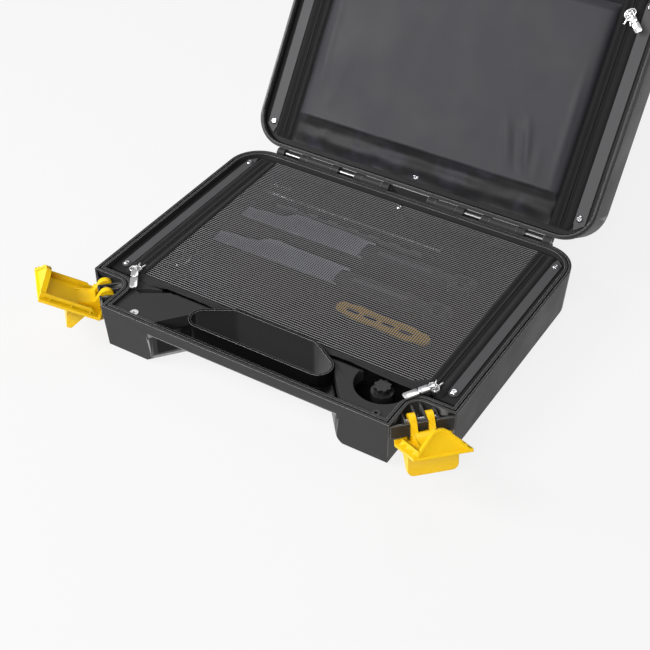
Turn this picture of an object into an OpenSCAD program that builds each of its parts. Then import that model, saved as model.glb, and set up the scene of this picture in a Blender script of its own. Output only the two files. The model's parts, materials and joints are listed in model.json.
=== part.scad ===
// Hard tool case, lid open, with a zipped organizer in each half.
// X runs across the case, Y from the handle side to the hinge, Z up.
// The origin is the middle of the underside of the base.

/* [Case] */
// Outside width
case_w = 410; // [396:1:430]
// Outside depth without the hinge
case_d = 320; // [308:1:340]
// Height of the base from the floor to its rim
base_h = 52; // [51:0.5:56]
// Depth of the lid behind its rim
lid_h = 54; // [50:0.5:60]
// Thickness of the shell walls
wall = 3; // [2.4:0.1:3.4]
// Thickness of the base floor and of the lid top
floor_t = 3; // [2.4:0.1:3.4]
// Radius of the two corners at the hinge side
rear_r = 36; // [30:1:42]
// How far the lid flanks lean in towards the lid top
lid_draft = 3.5; // [2.5:0.1:4]
// How far the base flanks lean in towards the floor
base_draft = 3; // [2:0.1:3.5]
// Chamfer round the lid top and round the floor
edge_chamfer = 3; // [2:0.1:4]

/* [Rim] */
// Width of the rim flange of the base
rim_w = 7; // [6.6:0.1:7.4]
// Depth of the rim flange
rim_t = 7; // [6:0.1:8]
// Distance of the rim groove from the outer face
groove_in = 2.5; // [2.2:0.1:2.7]
// Width of the rim groove
groove_w = 2; // [1.8:0.1:2.2]
// Depth of the rim groove
groove_t = 3; // [2.5:0.1:3.5]
// Gap round the lid tongue in the groove
tongue_gap = 0.4; // [0.3:0.05:0.5]
// Gap between the two rims of the shut case
rim_gap = 0.1; // [0.05:0.05:0.2]
// Width of the lid rim
lid_rim_w = 4.5; // [4.2:0.1:5]

/* [Handle] */
// Distance of the grip bay's side from the case side
bay_in = 98; // [96:0.5:102]
// Slant of each side of the grip bay
bay_slope = 30; // [28:0.5:32]
// Height of the grip bar
bar_t = 18; // [16:0.5:20]
// Rounding of the grip bar
bar_r = 9; // [7:0.5:10]
// Front edge of the finger hole
hole_front = 24.5; // [24:0.25:26]
// Back edge of the finger hole
hole_back = 62.5; // [61:0.25:63.5]
// Corner radius of the finger hole
hole_r = 12; // [10:0.5:13]
// Distance of the finger hole's front corner centres from the bay's side
hole_in = 42; // [41:0.5:44]
// Slant of each side of the finger hole
hole_slope = 23; // [20:0.5:25]
// Wall round the finger hole
hole_lip = 2.5; // [2.2:0.1:2.8]
// Rounding under the inner edge of the front blocks
block_r = 14; // [8:0.5:14.5]
// Rounding of the upright inner edge of the front blocks
block_side_r = 16; // [10:0.5:18]

/* [Latches] */
// Side of the square corner notch
notch = 44; // [43:0.5:45]
// Radius inside the notch
notch_r = 13; // [11:0.5:14]
// Pivot distance from the missing corner, along the diagonal
pivot_s = 38.5; // [38:0.25:39]
// Depth of the pivot below the rim
pivot_drop = 5.5; // [5:0.25:6]
// Width of a latch
latch_w = 53; // [50:0.5:54]
// Distance from the pivot to the outer face of the latch
latch_t = 20; // [19.5:0.25:21]
// Sheet thickness of a latch
latch_wall = 3; // [2.6:0.1:3.2]
// Width of the flange outside a latch's side walls
latch_flange = 5; // [4:0.25:5.5]
// Thickness of the arched end wall
arch_t = 5.5; // [4.5:0.25:6]
// Height of the end wall arch
latch_arch = 24; // [22:0.5:25]
// Angle by which an open latch leans out
latch_open = 58; // [50:1:60]
// Diameter of a latch pin
latch_pin_d = 5; // [4:0.1:5.4]
// Radius of the latch hooks
hook_r = 7.2; // [6.6:0.1:7.4]
// Width of one latch hook
hook_w = 6; // [5.4:0.1:6.2]
// Distance between the hook centres
hook_pitch = 16.5; // [16.2:0.1:16.8]
// Gap over the lid when the latch is shut
latch_gap = 0.3; // [0.2:0.05:0.5]

/* [Hinge] */
// Distance of the hinge axis behind the rear wall
hinge_back = 5; // [4.9:0.05:5.4]
// Radius of the hinge knuckles
knuckle_r = 4.8; // [4.4:0.05:4.85]
// Diameter of the hinge pins
hinge_pin_d = 4; // [3.4:0.1:4.4]
// Running gap round a pin
pin_gap = 0.08; // [0.06:0.01:0.1]
// Gap between neighbouring knuckles
knuckle_gap = 0.4; // [0.3:0.05:0.6]
// Angle of the open lid
lid_open = 124; // [110:1:126]

/* [Organizer] */
// Depth of the organizer board's face below the rim
deck_drop = 6; // [5.8:0.1:6.2]
// Thickness of the organizer board
deck_t = 3; // [2.6:0.1:3.2]
// Gap between the board and the rim flange
deck_gap = 0.6; // [0.4:0.05:0.8]
// Distance of the zip line from the case side
zip_in = 35; // [34:0.25:36.5]
// Front end of the side boards
side_front = 60; // [59:0.5:61]
// Distance of the cover's fold from the rear wall
fold_in = 35; // [34:0.5:36]
// Front edge of the mesh
mesh_front = 67; // [66:0.5:68]
// Width of the hem on the mesh
hem_w = 9; // [8:0.5:9.5]
// Distance of the mesh from the zip line
mesh_in = 10; // [9:0.5:12]
// Distance of the cover's fixed rear edge from the rear wall
anchor_in = 10.5; // [9.5:0.25:11]
// Thickness of the mesh panel
mesh_t = 1.4; // [1.2:0.1:1.6]
// Half width of a retaining strip
strip_hw = 5; // [4.6:0.1:5.2]
// Half width of a retaining strip in the lid
lid_strip_hw = 6.2; // [5.8:0.1:6.4]
// Distance of the strips from the case side
strip_in = 18; // [17:0.25:19]
// Thickness of a strip
strip_t = 1.6; // [1.4:0.1:1.8]
// Front screw of a strip
screw_front = 73; // [72:0.5:74]
// Distance of a strip's rear screw from the rear wall
screw_rear_in = 26; // [25:0.5:27]
// Distance of the rear middle screw from the rear wall
screw_mid_in = 15; // [14.5:0.25:15.5]
// Screw head diameter
screw_head_d = 7.4; // [7:0.1:7.8]
// Thickness of the straight edge of a screw head
screw_edge = 0.8; // [0.6:0.1:1]
// Thickness of the tapered part of a screw head
screw_cone = 1.1; // [0.9:0.1:1.3]
// Length of a screw shank
screw_l = 13; // [11:0.5:14]
// Screw shank diameter
screw_d = 3; // [2.6:0.1:3.2]
// Front edge of a parked slider
slider_y = 62; // [61.5:0.25:62.5]
// Length of a zip slider
slider_l = 16; // [15:0.5:16.5]
// Length of a pull tab
tab_l = 32; // [30:0.5:33]
// Length of the left pull tab
left_tab_l = 34; // [32:0.5:35]
// Thickness of a pull tab
tab_t = 2.2; // [1.8:0.1:2.4]
// Gap between a pull tab and the rim it lies over
tab_gap = 0.3; // [0.2:0.05:0.5]
// Length of a pull tab in the lid
lid_tab_l = 22; // [20:0.5:22]
// Front edge of a parked slider in the lid
lid_slider_y = 80; // [79.5:0.25:82]

/* [Inlay] */
// Distance of the left panel's slot from the case side
slot_in = 58; // [57:0.5:60]
// Distance of the slot's outer end from the front
slot_y = 41.5; // [41:0.5:43]
// Length of the slot between its end centres
slot_l = 33; // [32:0.5:34]
// Width of the slot
slot_w = 5; // [4.5:0.1:5.4]
// Slant of the slot
slot_turn = 30; // [28:0.5:32]
// Width of the raised lip round the slot's outer end
slot_lip_w = 1.4; // [1.2:0.1:1.6]
// Height of that lip
slot_lip_h = 1; // [0.8:0.1:1.2]
// Depth of the foam tray's face below the rim
tray_drop = 19; // [18:0.5:20]
// Gap between the foam and the shell
tray_gap = 0.5; // [0.4:0.1:0.8]
// Depth of the front panels' face below the rim
panel_drop = 4; // [3.7:0.1:4.5]
// Radius of the round well
well_r = 27.5; // [26:0.5:28]
// Distance of the well's middle from the case side
well_in = 78; // [77:0.5:79]
// Distance of the well's middle from the front
well_y = 50; // [49:0.5:51]
// Depth of the well below the panel
well_t = 24; // [20:0.5:28]
// Radius of an eyelet's flange
eyelet_r = 4.3; // [4:0.1:4.6]
// Thickness of an eyelet's flange
eyelet_t = 0.8; // [0.7:0.05:1]
// Radius of an eyelet's neck
eyelet_neck_r = 2.3; // [2.1:0.1:2.5]
// Bore of an eyelet
eyelet_bore = 3; // [2.8:0.1:3.2]
// Distance of the left eyelet from the case side
eyelet_left_in = 75; // [74:0.5:76]
// Distance of the right eyelet from the case side
eyelet_right_in = 64; // [63:0.5:65]
// Distance of the eyelets from the front
eyelet_y = 12; // [11.5:0.25:13]
// Diameter of the star tool's body
star_d = 22; // [20:0.5:24]
// Height of the star tool
star_h = 21; // [19:0.5:22]

/* [Tools] */
// Length of a wrench blade
blade_l = 152; // [140:1:156]
// Greatest width of a wrench blade
blade_w = 32; // [28:0.5:34]
// Thickness of a wrench blade
blade_t = 2.4; // [2:0.1:3]
// Length of a wrench grip without its loop
grip_l = 104; // [96:1:110]
// Width of a wrench grip
grip_w = 20; // [16:0.5:22]
// Thickness of a wrench grip
grip_t = 8; // [7:0.5:9]
// Distance of the front wrench from the rear wall
wrench_in = 143; // [141:0.5:145]
// Distance between the two wrenches
wrench_pitch = 52; // [50:0.5:54]
// Length of the hook rod
rod_l = 218; // [200:1:224]
// Diameter of the hook rod
rod_d = 3; // [2.4:0.1:3.4]
// Pitch of the links
link_pitch = 12.7; // [12:0.1:13]
// Number of links
link_count = 14; // [8:1:15]
// Radius of the key ring
ring_r = 13; // [11:0.5:14]
// Wire of the key ring
ring_d = 2; // [1.6:0.1:2.4]
// Diameter of the small bits
bit_d = 4.4; // [4:0.1:4.8]
// Distance of the oval tool's middle from the case side
oval_in = 130; // [126:1:134]
// Distance of the oval tool's middle from the rear wall
oval_rear = 181.5; // [178:0.5:184]
// Length of the oval tool
oval_l = 106; // [98:1:110]
// Width of the oval tool
oval_w = 19; // [17:0.5:20]
// Thickness of the oval tool
oval_t = 3; // [2.5:0.1:3.5]

/* [Hidden] */
$fn = 48;

black = [0.09, 0.09, 0.1];
board_grey = [0.16, 0.16, 0.17];
foam_grey = [0.2, 0.2, 0.21];
strip_grey = [0.42, 0.42, 0.43];
silver = [0.8, 0.8, 0.82];
yellow = [0.96, 0.8, 0.08];
blue_grey = [0.27, 0.27, 0.3];

// a place measured back from the front rim
function back(v) = v - case_d / 2;

bar_z = base_h - bar_t;
deck_z = base_h - deck_drop;
tray_z = base_h - tray_drop;
panel_z = base_h - panel_drop;
pivot_z = base_h - pivot_drop;
zip_x = case_w / 2 - zip_in;
mesh_x = zip_x - mesh_in;
strip_x = case_w / 2 - strip_in;
fold_y = case_d - fold_in;
screw_rear = case_d - screw_rear_in;
screw_mid_y = case_d - screw_mid_in;
well = [case_w / 2 - well_in, well_y];
trough_t = 3;
bay_w = case_w - 2 * bay_in;
half_bay = bay_w / 2;
hole_front_w = bay_w - 2 * hole_in;
hole_back_w = hole_front_w - 2 * hole_slope;
bay_back = hole_front + hole_r;
bay_stretch = norm([bay_slope, bay_back]) / bay_back;
diag_s = notch / sqrt(2);
brace_t = 2;
brace_top = base_h - 2;
brace_low = base_h - 16;
rib_t = 1.6;
rib_in = hook_pitch / 2 - hook_w / 2 - 0.25 - rib_t / 2;
rib_out = hook_pitch / 2 + hook_w / 2 + 3.75;
window_hw = hook_pitch / 2 + hook_w / 2 + 1.25;
latch_len = base_h + lid_h - pivot_z + latch_gap + arch_t;
hinge_y = case_d + hinge_back;
hinge_end = case_w / 2 - rear_r - 1;
knuckle_l = 9;
pin_show = 21;
outer_knuckle = hinge_end - 2 * knuckle_l - pin_show;
base_knuckles = [[24 + knuckle_l + knuckle_gap, 58 - knuckle_gap],
    [58 + 2 * knuckle_l + pin_show + knuckle_gap, outer_knuckle - knuckle_gap]];
lid_knuckles = [[24, 24 + knuckle_l], [58, 58 + knuckle_l],
    [58 + knuckle_l + pin_show, 58 + 2 * knuckle_l + pin_show],
    [outer_knuckle, outer_knuckle + knuckle_l], [hinge_end - knuckle_l, hinge_end]];
stop_t = 1.4;
stop_gap = 0.3;
rail_t = 2;
rail_z = base_h - knuckle_r - 0.5 - rail_t;
coil_t = 1.4;
coil_gap = 0.8;
coil_h = 1.2;
tape_t = 0.8;
post_t = 0.3;
cover_start = slider_y + slider_l + 1;
lid_cover_start = lid_slider_y + slider_l + 1;
slider_w = 9;
slider_roof = deck_z + tape_t + coil_h + 0.4;
eye_r = 1.9;
bar_d = 1.8;
eye_z = base_h + tab_gap + tab_t / 2;
boss_r = 4;
pilot_gap = 0.1;
lid_deck_z = base_h + 6;
deck_flip = lid_deck_z + deck_z;
arc_step = 9;

// ---------- outlines ----------

module notch_outline(i) {
    x0 = case_w / 2 - notch - i;
    r = notch_r + i;
    translate([x0 + r, back(-1)]) square([notch + i - r + 1, notch + i + 1]);
    translate([x0, back(-1)]) square([notch + i + 1, notch - notch_r + 1]);
    translate([x0 + r, back(notch - notch_r)]) circle(r);
}

module case_outline(i = 0) {
    difference() {
        union() {
            translate([-case_w / 2 + i, back(i)]) square([case_w - 2 * i, case_d - rear_r - i]);
            translate([-case_w / 2 + rear_r, back(i)])
                square([case_w - 2 * rear_r, case_d - 2 * i]);
            for (s = [-1, 1]) translate([s * (case_w / 2 - rear_r), back(case_d - rear_r)])
                circle(rear_r - i);
        }
        notch_outline(i);
        mirror([1, 0]) notch_outline(i);
    }
}

// points of the arc round corner k, for centre points that run anticlockwise
function corner_arc(pts, r, k) =
    let(n = len(pts), a = pts[k], p = pts[(k + n - 1) % n], q = pts[(k + 1) % n],
        from = atan2(a[1] - p[1], a[0] - p[0]) - 90,
        d = atan2(q[1] - a[1], q[0] - a[0]) - 90 - from,
        turn = d - 360 * floor(d / 360), m = max(1, ceil(turn / arc_step)))
    [for (i = [0:m]) a + r * [cos(from + turn * i / m), sin(from + turn * i / m)]];

// a polygon of centre points with every corner rounded by r
module rounded_poly(pts, r) {
    polygon([for (k = [0:len(pts) - 1]) each corner_arc(pts, r, k)]);
}

module finger_hole(g = 0) {
    f = back(hole_front + hole_r);
    b = back(hole_back - hole_r);
    rounded_poly([[-hole_front_w / 2, f], [hole_front_w / 2, f],
        [hole_back_w / 2, b], [-hole_back_w / 2, b]], hole_r + g);
}

module bay_outline(g = 0) {
    x = half_bay + g * bay_stretch;
    finger_hole(g);
    polygon([[-x - bay_slope / bay_back, back(-1)], [x + bay_slope / bay_back, back(-1)],
        [x - bay_slope, back(bay_back)], [-x + bay_slope, back(bay_back)]]);
}

// a wall that follows the case outline between two insets
module ring_outline(outer, inner) {
    difference() {
        case_outline(outer);
        case_outline(inner);
    }
}

// the sharp part of a rounded edge, seen along the edge
module edge_profile(r, w) {
    difference() {
        translate([-1, -1]) square(r + 1);
        translate([r, r]) circle(r - w);
    }
}

module bar_edge(w) {
    translate([-half_bay - 4, back(0), bar_z]) rotate([90, 0, 90])
        linear_extrude(bay_w + 8) edge_profile(bar_r, w);
}

module block_edge(w) {
    turn = atan2(bay_slope, bay_back);
    l = norm([bay_slope, bay_back]);
    for (m = [0, 1]) mirror([m, 0, 0]) translate([half_bay, back(0), 0]) rotate([0, 0, turn])
        translate([0, l, 0]) rotate([90, 0, 0]) linear_extrude(l + 12) edge_profile(block_r, w);
}

// the sharp part of the blocks' upright inner edges, in plan, outside an arc of short chords
module block_sides(w) {
    p = [half_bay, back(0)];
    side = atan2(bay_back, bay_slope);
    reach = block_side_r / tan((180 - side) / 2);
    centre = p + [reach, block_side_r];
    inner = centre - block_side_r * [sin(side), cos(side)];
    chords = 6;
    for (m = [0, 1]) mirror([m, 0]) polygon([p + [reach, -1], p - [3, 1], inner - 3 * [sin(side), cos(side)],
        for (i = [0:chords]) let(a = 270 - side * (1 - i / chords))
            centre + (block_side_r + 0.1 - w) * [cos(a), sin(a)]]);
}

// ---------- the two shell halves ----------

// the case outline, leaning from inset "low" at the bottom to "high" at the top
module leaning(h, low, high, i = 0) {
    sx = (case_w / 2 - low) / (case_w / 2 - high);
    sy = (case_d / 2 - low) / (case_d / 2 - high);
    fx = (case_w / 2 - high) / (case_w / 2);
    fy = (case_d / 2 - high) / (case_d / 2);
    linear_extrude(h, scale = [1 / sx, 1 / sy], slices = 1) scale([sx * fx, sy * fy]) case_outline(i);
}

module shell_block(h, draft, chamfer) {
    leaning(chamfer, draft + chamfer, draft * (1 - chamfer / h));
    translate([0, 0, chamfer]) leaning(h - chamfer, draft * (1 - chamfer / h), 0);
}

module shell_room(h, draft) {
    leaning(h - floor_t + 0.01, draft, 0, wall);
}

// a tub with its floor down, its rim up, and the grip bay and finger hole at the front
module tub(h, draft, chamfer) {
    low = h - bar_t;
    difference() {
        shell_block(h, draft, chamfer);
        translate([0, 0, floor_t]) difference() {
            shell_room(h, draft);
            translate([0, 0, -1]) linear_extrude(low + trough_t - floor_t + 1) bay_outline(wall);
            translate([0, 0, -1]) linear_extrude(h + 2) finger_hole(hole_lip);
            translate([0, 0, low - bar_z - floor_t]) intersection() {
                bar_edge(wall);
                linear_extrude(h) bay_outline(wall);
            }
            translate([0, 0, -floor_t]) block_edge(wall);
            translate([0, 0, -1]) linear_extrude(low + trough_t - floor_t + 1) block_sides(wall);
        }
        translate([0, 0, -1]) linear_extrude(low + 1) bay_outline();
        translate([0, 0, -1]) linear_extrude(h + 2) finger_hole();
        translate([0, 0, low - bar_z]) intersection() {
            bar_edge(0);
            linear_extrude(h) bay_outline();
        }
        block_edge(0);
        translate([0, 0, -1]) linear_extrude(low + 1) block_sides(0);
    }
}

// ribs and wall that close the notch along its diagonal, between two heights
module corner_brace(z0, z1, edge, window) {
    s1 = (notch - notch_r) * sqrt(2) + notch_r + 1;
    for (m = [0, 1]) mirror([m, 0, 0]) translate([case_w / 2, back(0), z0]) {
        intersection() {
            translate([-notch - 0.5, edge, 0]) cube([notch + 0.5 - edge, notch + 0.5 - edge, z1 - z0]);
            rotate([0, 0, 135]) {
                difference() {
                    translate([diag_s, -notch, 0]) cube([brace_t, 2 * notch, z1 - z0]);
                    if (window) translate([diag_s - 1, -window_hw, -1])
                        cube([brace_t + 2, 2 * window_hw, z1 - z0 + 2]);
                }
                for (w = [-rib_out, rib_out])
                    translate([diag_s, w - rib_t / 2, 0]) cube([s1 - diag_s, rib_t, z1 - z0]);
                for (w = [-rib_in, rib_in])
                    translate([diag_s, w - rib_t / 2, 0]) cube([s1 - diag_s, rib_t, z1 - z0]);
                translate([diag_s, -rib_in, 0]) cube([brace_t, 2 * rib_in, z1 - z0]);
            }
        }
    }
}

// the flat triangle that fills the notch at the lid top
module corner_plate(t, edge) {
    far = notch + 0.5;
    for (m = [0, 1]) mirror([m, 0, 0]) translate([case_w / 2, back(0), 0]) linear_extrude(t)
        polygon([[-edge, notch - edge], [-notch + edge, edge], [-far, edge], [-far, far],
            [-edge, far]]);
}

module pin_cutter(r) {
    for (m = [0, 1]) mirror([m, 0, 0]) at_pivot(1) rotate([0, 90, 0])
        cylinder(r = r, h = 2 * (rib_out + 2), center = true);
}

// latch frame: X along the pin, -Y out of the corner, Z up the shut latch
module at_pivot(side) {
    translate([side * (case_w / 2 - pivot_s / sqrt(2)), back(pivot_s / sqrt(2)), pivot_z])
        rotate([0, 0, side * 45]) children();
}

module knuckles(spans, up) {
    for (m = [0, 1]) mirror([m, 0, 0]) for (k = spans) {
        translate([k[0], back(hinge_y), base_h]) rotate([0, 90, 0])
            cylinder(r = knuckle_r, h = k[1] - k[0]);
        translate([k[0], back(case_d - wall / 2), base_h - (up ? 0 : 6)])
            cube([k[1] - k[0], hinge_back + wall / 2 - 0.5, 6]);
    }
}

module hinge_bore(r) {
    translate([-case_w / 2, back(hinge_y), base_h]) rotate([0, 90, 0])
        cylinder(r = r, h = case_w);
}

screw_spots = [[strip_x, screw_front], [-strip_x, screw_front], [strip_x, screw_rear],
    [-strip_x, screw_rear], [0, screw_mid_y]];

module bosses(spots, z0, z1) {
    for (p = spots) translate([p[0], back(p[1]), z0]) difference() {
        cylinder(r = boss_r, h = z1 - z0);
        translate([0, 0, z1 - z0 - 14]) cylinder(r = screw_d / 2 + pilot_gap, h = 15);
    }
}

// a rail under the knuckles, with a comb of ribs where the hinge is open
module hinge_rail() {
    top = base_h - rail_z - 4;
    translate([-hinge_end, back(case_d - wall / 2), rail_z])
        cube([2 * hinge_end, hinge_back + knuckle_r + wall / 2, rail_t]);
    for (m = [0, 1]) mirror([m, 0, 0]) {
        for (a = [lid_knuckles[1][1], lid_knuckles[3][1]]) for (k = [0:7])
            translate([a + 1.2 + 2.6 * k, back(case_d - 0.5), rail_z]) cube([1.2, 2.8, top]);
        for (k = [0:8]) translate([2.6 * k - 0.6, back(case_d - 0.5), rail_z])
            cube([1.2, 2.8, top + 2]);
        lid_stops();
    }
}

// walls behind the open stretches of the hinge, on which the open lid rests
module lid_stops() {
    a = 180 - lid_open;
    rest = (hinge_back - stop_gap) * [cos(a), sin(a)];
    for (s = [[-1, lid_knuckles[0][0]], [lid_knuckles[1][1], lid_knuckles[2][0]],
            [lid_knuckles[3][1], lid_knuckles[4][0]]])
        translate([0, back(hinge_y), base_h]) across(s[0] + knuckle_gap, s[1] - knuckle_gap)
            polygon([rest, rest + stop_t / sin(a) * [sin(a), -cos(a)],
                [rest[0] + stop_t, -knuckle_r - 1], [rest[0], -knuckle_r - 1]]);
}

module base_shell() {
    color(black) difference() {
        union() {
            tub(base_h, base_draft, edge_chamfer);
            translate([0, 0, base_h - rim_t]) linear_extrude(rim_t)
                ring_outline(wall - 0.5, rim_w);
            corner_brace(brace_low, brace_top, 1.2, true);
            knuckles(base_knuckles, false);
            hinge_rail();
            bosses(screw_spots, floor_t, deck_z - deck_t);
        }
        translate([0, 0, base_h - groove_t]) linear_extrude(groove_t + 1)
            ring_outline(groove_in, groove_in + groove_w);
        hinge_bore(hinge_pin_d / 2 + pin_gap);
        pin_cutter(latch_pin_d / 2 + pin_gap);
    }
}

// ---------- inlays of the base ----------

// left of this line on the left, right of it on the right, the panels start
panel_gap = 2;

module panel_region() {
    x = half_bay + (wall + panel_gap) * bay_stretch;
    difference() {
        intersection() {
            case_outline(rim_w + 0.4);
            translate([-case_w / 2, back(0)]) square([case_w, side_front - tray_gap]);
        }
        polygon([[-x, back(0)], [x, back(0)], [x - bay_slope, back(bay_back)],
            [hole_back_w / 2 + hole_r + hole_lip + 1, back(hole_back)],
            [hole_back_w / 2 + hole_r, back(side_front + 5)],
            [-hole_back_w / 2 - hole_r, back(side_front + 5)],
            [-hole_back_w / 2 - hole_r - hole_lip - 1, back(hole_back)],
            [-x + bay_slope, back(bay_back)]]);
        finger_hole(hole_lip + panel_gap / 2);
        for (p = screw_spots) translate([p[0], back(p[1])]) circle(boss_r + tray_gap);
    }
}

// a slanted slot with round ends, widened by g
module tool_slot(g = 0) {
    r = slot_w / 2 + g;
    translate([slot_in - case_w / 2, back(slot_y)]) rotate(slot_turn) {
        translate([0, -r]) square([slot_l, 2 * r]);
        circle(r);
        translate([slot_l, 0]) circle(r);
    }
}

// a raised lip round the outer end of the slot
module slot_lip() {
    difference() {
        tool_slot(slot_lip_w);
        tool_slot();
        translate([slot_in - case_w / 2, back(slot_y)]) rotate(slot_turn) {
            translate([1, -slot_w]) square([slot_l + slot_w, slot_w]);
            translate([slot_l / 3, -1]) square([slot_l, 2 * slot_w]);
        }
    }
}

module foam_tray() {
    color(foam_grey) difference() {
        translate([0, 0, floor_t]) leaning(tray_z - floor_t, base_draft,
            base_draft * (base_h - tray_z) / (base_h - floor_t), wall + tray_gap);
        linear_extrude(base_h) {
            bay_outline(wall + tray_gap);
            for (p = screw_spots) translate([p[0], back(p[1])]) circle(boss_r + tray_gap);
        }
        block_edge(wall + tray_gap);
        linear_extrude(base_h) block_sides(wall + tray_gap);
        translate([well[0], back(well[1]), panel_z - well_t]) cylinder(r = well_r, h = well_t);
    }
}

module front_panel_left() {
    color(board_grey) translate([0, 0, tray_z]) difference() {
        linear_extrude(panel_z - tray_z) intersection() {
            panel_region();
            translate([-case_w, back(0)]) square([case_w, case_d]);
        }
        translate([0, 0, panel_z - tray_z - 9]) linear_extrude(20) tool_slot();
        translate([eyelet_left_in - case_w / 2, back(eyelet_y), panel_z - tray_z - 6])
            cylinder(r = eyelet_neck_r, h = 7);
        rear_step();
    }
    color(board_grey) translate([0, 0, panel_z]) linear_extrude(slot_lip_h) slot_lip();
}

module front_panel_right() {
    color(board_grey) translate([0, 0, tray_z]) difference() {
        linear_extrude(panel_z - tray_z) intersection() {
            panel_region();
            translate([0, back(0)]) square([case_w, case_d]);
        }
        translate([well[0], back(well[1]), -1]) cylinder(r = well_r, h = panel_z);
        translate([case_w / 2 - eyelet_right_in, back(eyelet_y), panel_z - tray_z - 6])
            cylinder(r = eyelet_neck_r, h = 7);
        rear_step();
    }
}

// the panels drop where the hem of the cover lies over them
module rear_step() {
    translate([-case_w / 2, back(mesh_front - hem_w - 3), deck_z - 1.4 - tray_z])
        cube([case_w, 40, 20]);
}

module eyelet(x) {
    translate([x, back(eyelet_y), panel_z]) difference() {
        union() {
            translate([0, 0, -5]) cylinder(r = eyelet_neck_r, h = 5.1);
            cylinder(r = eyelet_r, h = eyelet_t);
        }
        translate([0, 0, -6]) cylinder(d = eyelet_bore, h = 8);
    }
}

module panel_eyelets() {
    color(silver) eyelet(eyelet_left_in - case_w / 2);
    color(black) eyelet(case_w / 2 - eyelet_right_in);
}

// ---------- organizer, drawn for the base and flipped for the lid ----------

module board_outline(rim) {
    difference() {
        intersection() {
            case_outline(rim + deck_gap);
            translate([-case_w / 2, back(side_front)]) square([case_w, case_d]);
        }
        translate([-zip_x - 2.5, back(0)]) square([2 * zip_x + 5, fold_y + 15]);
    }
}

module board(rim) {
    difference() {
        translate([0, 0, deck_z - deck_t]) linear_extrude(deck_t) board_outline(rim);
        for (p = screw_spots) translate([p[0], back(p[1]), 0])
            cylinder(r = screw_d / 2 + pilot_gap, h = base_h);
    }
}

module strip(side, hw) {
    x = side * (strip_x + hw - strip_hw);
    difference() {
        translate([0, 0, deck_z]) linear_extrude(strip_t) {
            translate([x - hw, back(screw_front)]) square([2 * hw, screw_rear - screw_front + 6]);
            translate([x, back(screw_front)]) circle(hw);
            polygon([[x - hw, back(screw_rear + 5)], [x + hw, back(screw_rear + 5)],
                [x - side * hw * 0.6, back(screw_rear + 13)]]);
        }
        for (y = [screw_front, screw_rear]) translate([side * strip_x, back(y), 0])
            cylinder(r = screw_d / 2 + pilot_gap, h = base_h);
    }
}

module screw(z) {
    translate([0, 0, z]) difference() {
        union() {
            cylinder(d = screw_head_d, h = screw_edge);
            translate([0, 0, screw_edge])
                cylinder(d1 = screw_head_d, d2 = screw_head_d * 0.65, h = screw_cone);
        }
        for (a = [0, 90]) rotate([0, 0, a])
            translate([-screw_head_d * 0.23, -screw_head_d * 0.05, screw_edge + 0.1])
                cube([screw_head_d * 0.46, screw_head_d * 0.1, 2 * screw_cone]);
    }
    translate([0, 0, z - screw_l]) cylinder(d = screw_d, h = screw_l + 0.01);
}

module screws() {
    for (p = screw_spots) translate([p[0], back(p[1]), 0])
        screw(p[1] == screw_mid_y ? deck_z + tape_t : deck_z + strip_t);
}

// fixed half of a zip: tape on the board, coil beside the centre post
module zip_tape(side, start) {
    l = case_d - anchor_in - start;
    x0 = zip_x + coil_gap / 2;
    mirror([side < 0 ? 1 : 0, 0, 0]) {
        translate([x0, back(start), deck_z]) cube([strip_x - strip_hw - 0.4 - x0, l, tape_t]);
        translate([x0, back(start), deck_z + tape_t]) cube([coil_t, l, coil_h]);
    }
}

// moving half of the zips, on the cover
module cover_tape(side, start) {
    l = fold_y - start;
    x1 = zip_x - coil_gap / 2;
    mirror([side < 0 ? 1 : 0, 0, 0]) {
        translate([mesh_x, back(start), deck_z]) cube([x1 - mesh_x, l, tape_t]);
        translate([x1 - coil_t, back(start), deck_z + tape_t]) cube([coil_t, l, coil_h]);
        translate([mesh_x, back(side_front + 2), deck_z]) cube([4, start - side_front - 2, tape_t]);
    }
}

// the stretch of cover behind the fold stays with the board
module anchor() {
    x1 = zip_x - coil_gap / 2;
    l = fold_in - anchor_in - 0.6;
    difference() {
        translate([-x1, back(fold_y + 0.6), deck_z]) cube([2 * x1, l, tape_t]);
        translate([0, back(screw_mid_y), deck_z - 1]) cylinder(r = screw_d / 2 + pilot_gap, h = 4);
    }
    for (s = [-1, 1]) translate([s * (x1 - coil_t / 2) - coil_t / 2, back(fold_y + 2.6), deck_z])
        cube([coil_t, l - 2, tape_t + coil_h]);
}

// how far a pull tab points towards the middle, in degrees
tab_turn = 30;
left_tab_turn = 34;

module at_tab(side, y, turn) {
    translate([side * zip_x, back(y), eye_z]) rotate([0, 0, -side * turn]) children();
}

// saddle over both coils with a post between them and a bow for the tab
module slider(side, y, turn) {
    x = side * zip_x;
    difference() {
        union() {
            translate([x - slider_w / 2, back(y), deck_z + tape_t + 0.3])
                cube([slider_w, slider_l, slider_roof - deck_z - tape_t + 0.9]);
        }
        translate([x - coil_gap / 2 - coil_t - 0.3, back(y) - 1, 0])
            cube([2 * coil_t + coil_gap + 0.6, slider_l + 2, slider_roof]);
        for (e = [-1, 1]) translate([x, back(y), 0]) rotate([0, 0, e * 16])
            translate([e * (slider_w / 2 + 0.2) - (e < 0 ? 6 : 0), -4, 0]) cube([6, 9, 60]);
    }
    translate([x - post_t / 2, back(y) + 3, deck_z + tape_t + 0.3])
        cube([post_t, slider_l - 6, slider_roof - deck_z - tape_t]);
    at_tab(side, y + 4, turn) bow();
}

// two cheeks and the bar that the tab hangs on
module bow() {
    low = eye_z - slider_roof - 0.9;
    for (e = [-1, 1]) translate([e * 2.8 - 0.5, 0, 0]) {
        translate([0, -1.6, -low]) cube([1, 4.2, low]);
        rotate([0, 90, 0]) cylinder(r = 1.6, h = 1);
    }
    rotate([0, 90, 0]) cylinder(d = bar_d, h = 5.6, center = true);
}

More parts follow.
